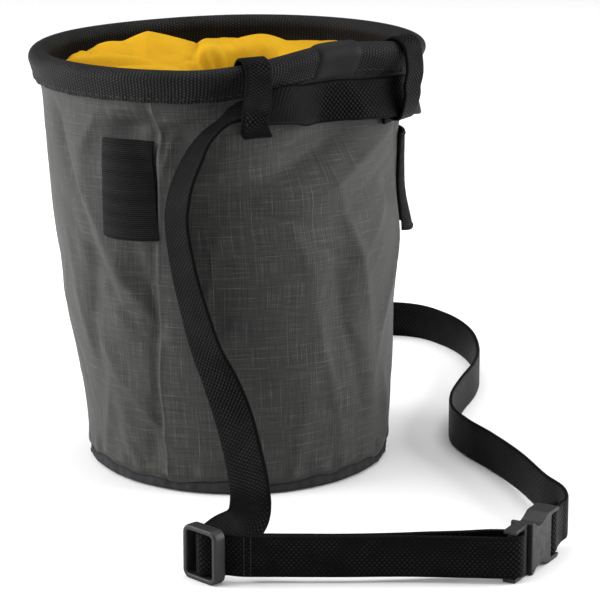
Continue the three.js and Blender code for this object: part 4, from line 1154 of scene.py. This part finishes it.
def loop_tacks(material):
    """Bar tacks that hold the loops' inner ends to the binding."""
    rows = []
    for row in LOOP_ROWS.values():
        at, along, wide, thick = strap_frames(loop_path(**row), np.array([0.12, 0.24]), LOOP_WIDTH)
        inward = -outward_at(np.array(row["side"]), BINDING_EDGE)
        face = np.sign(thick @ inward)[:, None]
        for share in np.linspace(-0.8, 0.8, LOOP_TACKS_ACROSS):
            spots = at + wide * share * LOOP_WIDTH / 2 + thick * face * LOOP_THICKNESS / 2
            rows.append((spots, wide, thick * face))
    return stitches("belt_loop_stitches", rows, material, LOOP_TACK_LENGTH, TACK_WIDTH)


# Slider and buckle
def slider_frame(material):
    """A rounded bar swept round the frame, and the bar across it."""
    half, tall, bend = (SLIDER_LENGTH - SLIDER_RIM) / 2, (SLIDER_HEIGHT - SLIDER_RIM) / 2, 2.2 * MM
    path = []
    for sx, sy, start in ((1, 1, 0), (-1, 1, 90), (-1, -1, 180), (1, -1, 270)):
        for turn in np.radians(start + np.arange(0, 91, 10)):
            c, s = math.cos(turn), math.sin(turn)
            path.append((sx * (half - bend) + bend * c, sy * (tall - bend) + bend * s, c, s))
    path = np.array(path)
    t = np.radians(np.arange(0, 360, 12))
    round_cos = np.sign(np.cos(t)) * np.abs(np.cos(t)) ** 0.45
    round_sin = np.sign(np.sin(t)) * np.abs(np.sin(t)) ** 0.45
    out, face = SLIDER_RIM * 0.56 * round_cos, SLIDER_DEPTH / 2 * round_sin
    x = path[:, :1] + path[:, 2:3] * out
    y = path[:, 1:2] + path[:, 3:4] * out
    local = np.stack([x, y, np.broadcast_to(face, x.shape)], -1)
    basis = np.array([SLIDER_ALONG, UP, SLIDER_FACE])
    lattice("slider_frame", SLIDER_AT + local @ basis, material, ["slider"], (True, True))
    rise = np.linspace(-WEBBING_SLOT / 2 - 0.4 * MM, WEBBING_SLOT / 2 + 0.4 * MM, 12)[:, None]
    bar = point(SLIDER_BAR / 2 * round_cos, rise, BAR_DEPTH / 2 * round_sin - BAR_BACK)
    lattice("slider_bar", SLIDER_AT + bar @ basis, material)


def moulded(name, node, origin, along, face, material):
    """The solid's shape with soft moulded edges, worked out in its own axes."""
    turn = Matrix([(*along, 0), (*UP, 0), (*face, 0), (0, 0, 0, 1)]).transposed()
    turn.translation = Vector(origin)
    work = bpy.data.objects.new(name + "_work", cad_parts[node].data.copy())
    work.data.transform(turn.inverted())
    bpy.context.scene.collection.objects.link(work)
    remesh = work.modifiers.new("remesh", "REMESH")
    remesh.mode, remesh.voxel_size = "VOXEL", 0.25 * MM
    soft = work.modifiers.new("soft", "SMOOTH")
    soft.factor, soft.iterations = 0.5, 5
    ready = work.evaluated_get(bpy.context.evaluated_depsgraph_get())
    mesh = bpy.data.meshes.new_from_object(ready)
    bpy.data.objects.remove(work)
    mesh.transform(turn)
    mesh.materials.clear()
    mesh.materials.append(material)
    mesh.shade_smooth()
    piece = bpy.data.objects.new(name, mesh)
    bpy.context.scene.collection.objects.link(piece)
    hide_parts(node)
    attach(piece, "root")


# Build
# The last argument of each webbing look is the colour of the painted highlight on its raised floats.
WEBBING = webbing_look("webbing", BELT_WIDTH, 1.7 * MM, 1.9 * MM, 0x1E1E1F)
NARROW = webbing_look("loop_webbing", LOOP_WIDTH, 1.5 * MM, 2.0 * MM, 0x222223)
PLASTIC = plastic_look()
THREAD = thread_look()
bag_shell(ripstop_look())
base_panel(base_look())
rim_binding(grosgrain_look())
rim_patch(patch_look())
rim_stitches(THREAD)
closure = closure_skirt(yellow_look())
ELASTIC = elastic_look()
for side_name, sleeve in SLEEVE_ROWS.items():
    brush_sleeve(f"brush_sleeve_{side_name}_band", sleeve, ELASTIC)
belt(WEBBING)
belt_loops(NARROW)
belt_tacks(THREAD)
loop_tacks(THREAD)
slider_frame(PLASTIC)
moulded("buckle_plug_body", "buckle_plug", BUCKLE_AT, BUCKLE_ALONG, BUCKLE_FACE, PLASTIC)
moulded("buckle_socket_body", "buckle_socket", BUCKLE_AT, BUCKLE_ALONG, BUCKLE_FACE, PLASTIC)

# Floor, light and camera
floor_mesh = bpy.data.meshes.new("floor")
floor_mesh.from_pydata([(-6, -6, 0), (6, -6, 0), (6, 8, 0), (-6, 8, 0)], [], [(0, 1, 2, 3)])
floor_look = bpy.data.materials.new("floor")
floor_look.use_nodes = True
floor_shader = floor_look.node_tree.nodes["Principled BSDF"]
floor_shader.inputs["Base Color"].default_value = (0.93, 0.93, 0.93, 1)
floor_shader.inputs["Roughness"].default_value = 0.9
floor_shader.inputs["Specular IOR Level"].default_value = 0.1
floor_mesh.materials.append(floor_look)
floor = bpy.data.objects.new("floor", floor_mesh)
floor.location.z = -0.05 * MM
bpy.context.scene.collection.objects.link(floor)

world = bpy.data.worlds.new("studio")
world.use_nodes = True
world.node_tree.nodes["Background"].inputs["Color"].default_value = (1, 1, 1, 1)
world.node_tree.nodes["Background"].inputs["Strength"].default_value = 0.22
bpy.context.scene.world = world

LIGHTS = [
    dict(name="left", at=(-1.15, -0.1, 0.35), size=1.2, power=34),
    dict(name="right", at=(1.15, 0.0, 0.4), size=1.0, power=21),
    dict(name="top", at=(0.0, 0.15, 1.4), size=1.5, power=18),
]
for row in LIGHTS:
    light = bpy.data.lights.new(row["name"], "AREA")
    light.size, light.energy = row["size"], row["power"]
    lamp = bpy.data.objects.new(row["name"], light)
    lamp.location = row["at"]
    aim = Vector((0, 0, 0.08)) - lamp.location
    lamp.rotation_euler = aim.to_track_quat("-Z", "Y").to_euler()
    bpy.context.scene.collection.objects.link(lamp)

CAMERA_AT = (0.025, -1.1, 0.3655)
CAMERA_PITCH = 15.58  # degrees below level
optics = bpy.data.cameras.new("camera")
optics.lens, optics.sensor_width = 180.3, 36
camera = bpy.data.objects.new("camera", optics)
camera.location = CAMERA_AT
camera.rotation_euler = (math.radians(90 - CAMERA_PITCH), 0, 0)
bpy.context.scene.collection.objects.link(camera)
bpy.context.scene.camera = camera
bpy.context.scene.view_settings.view_transform = "Standard"
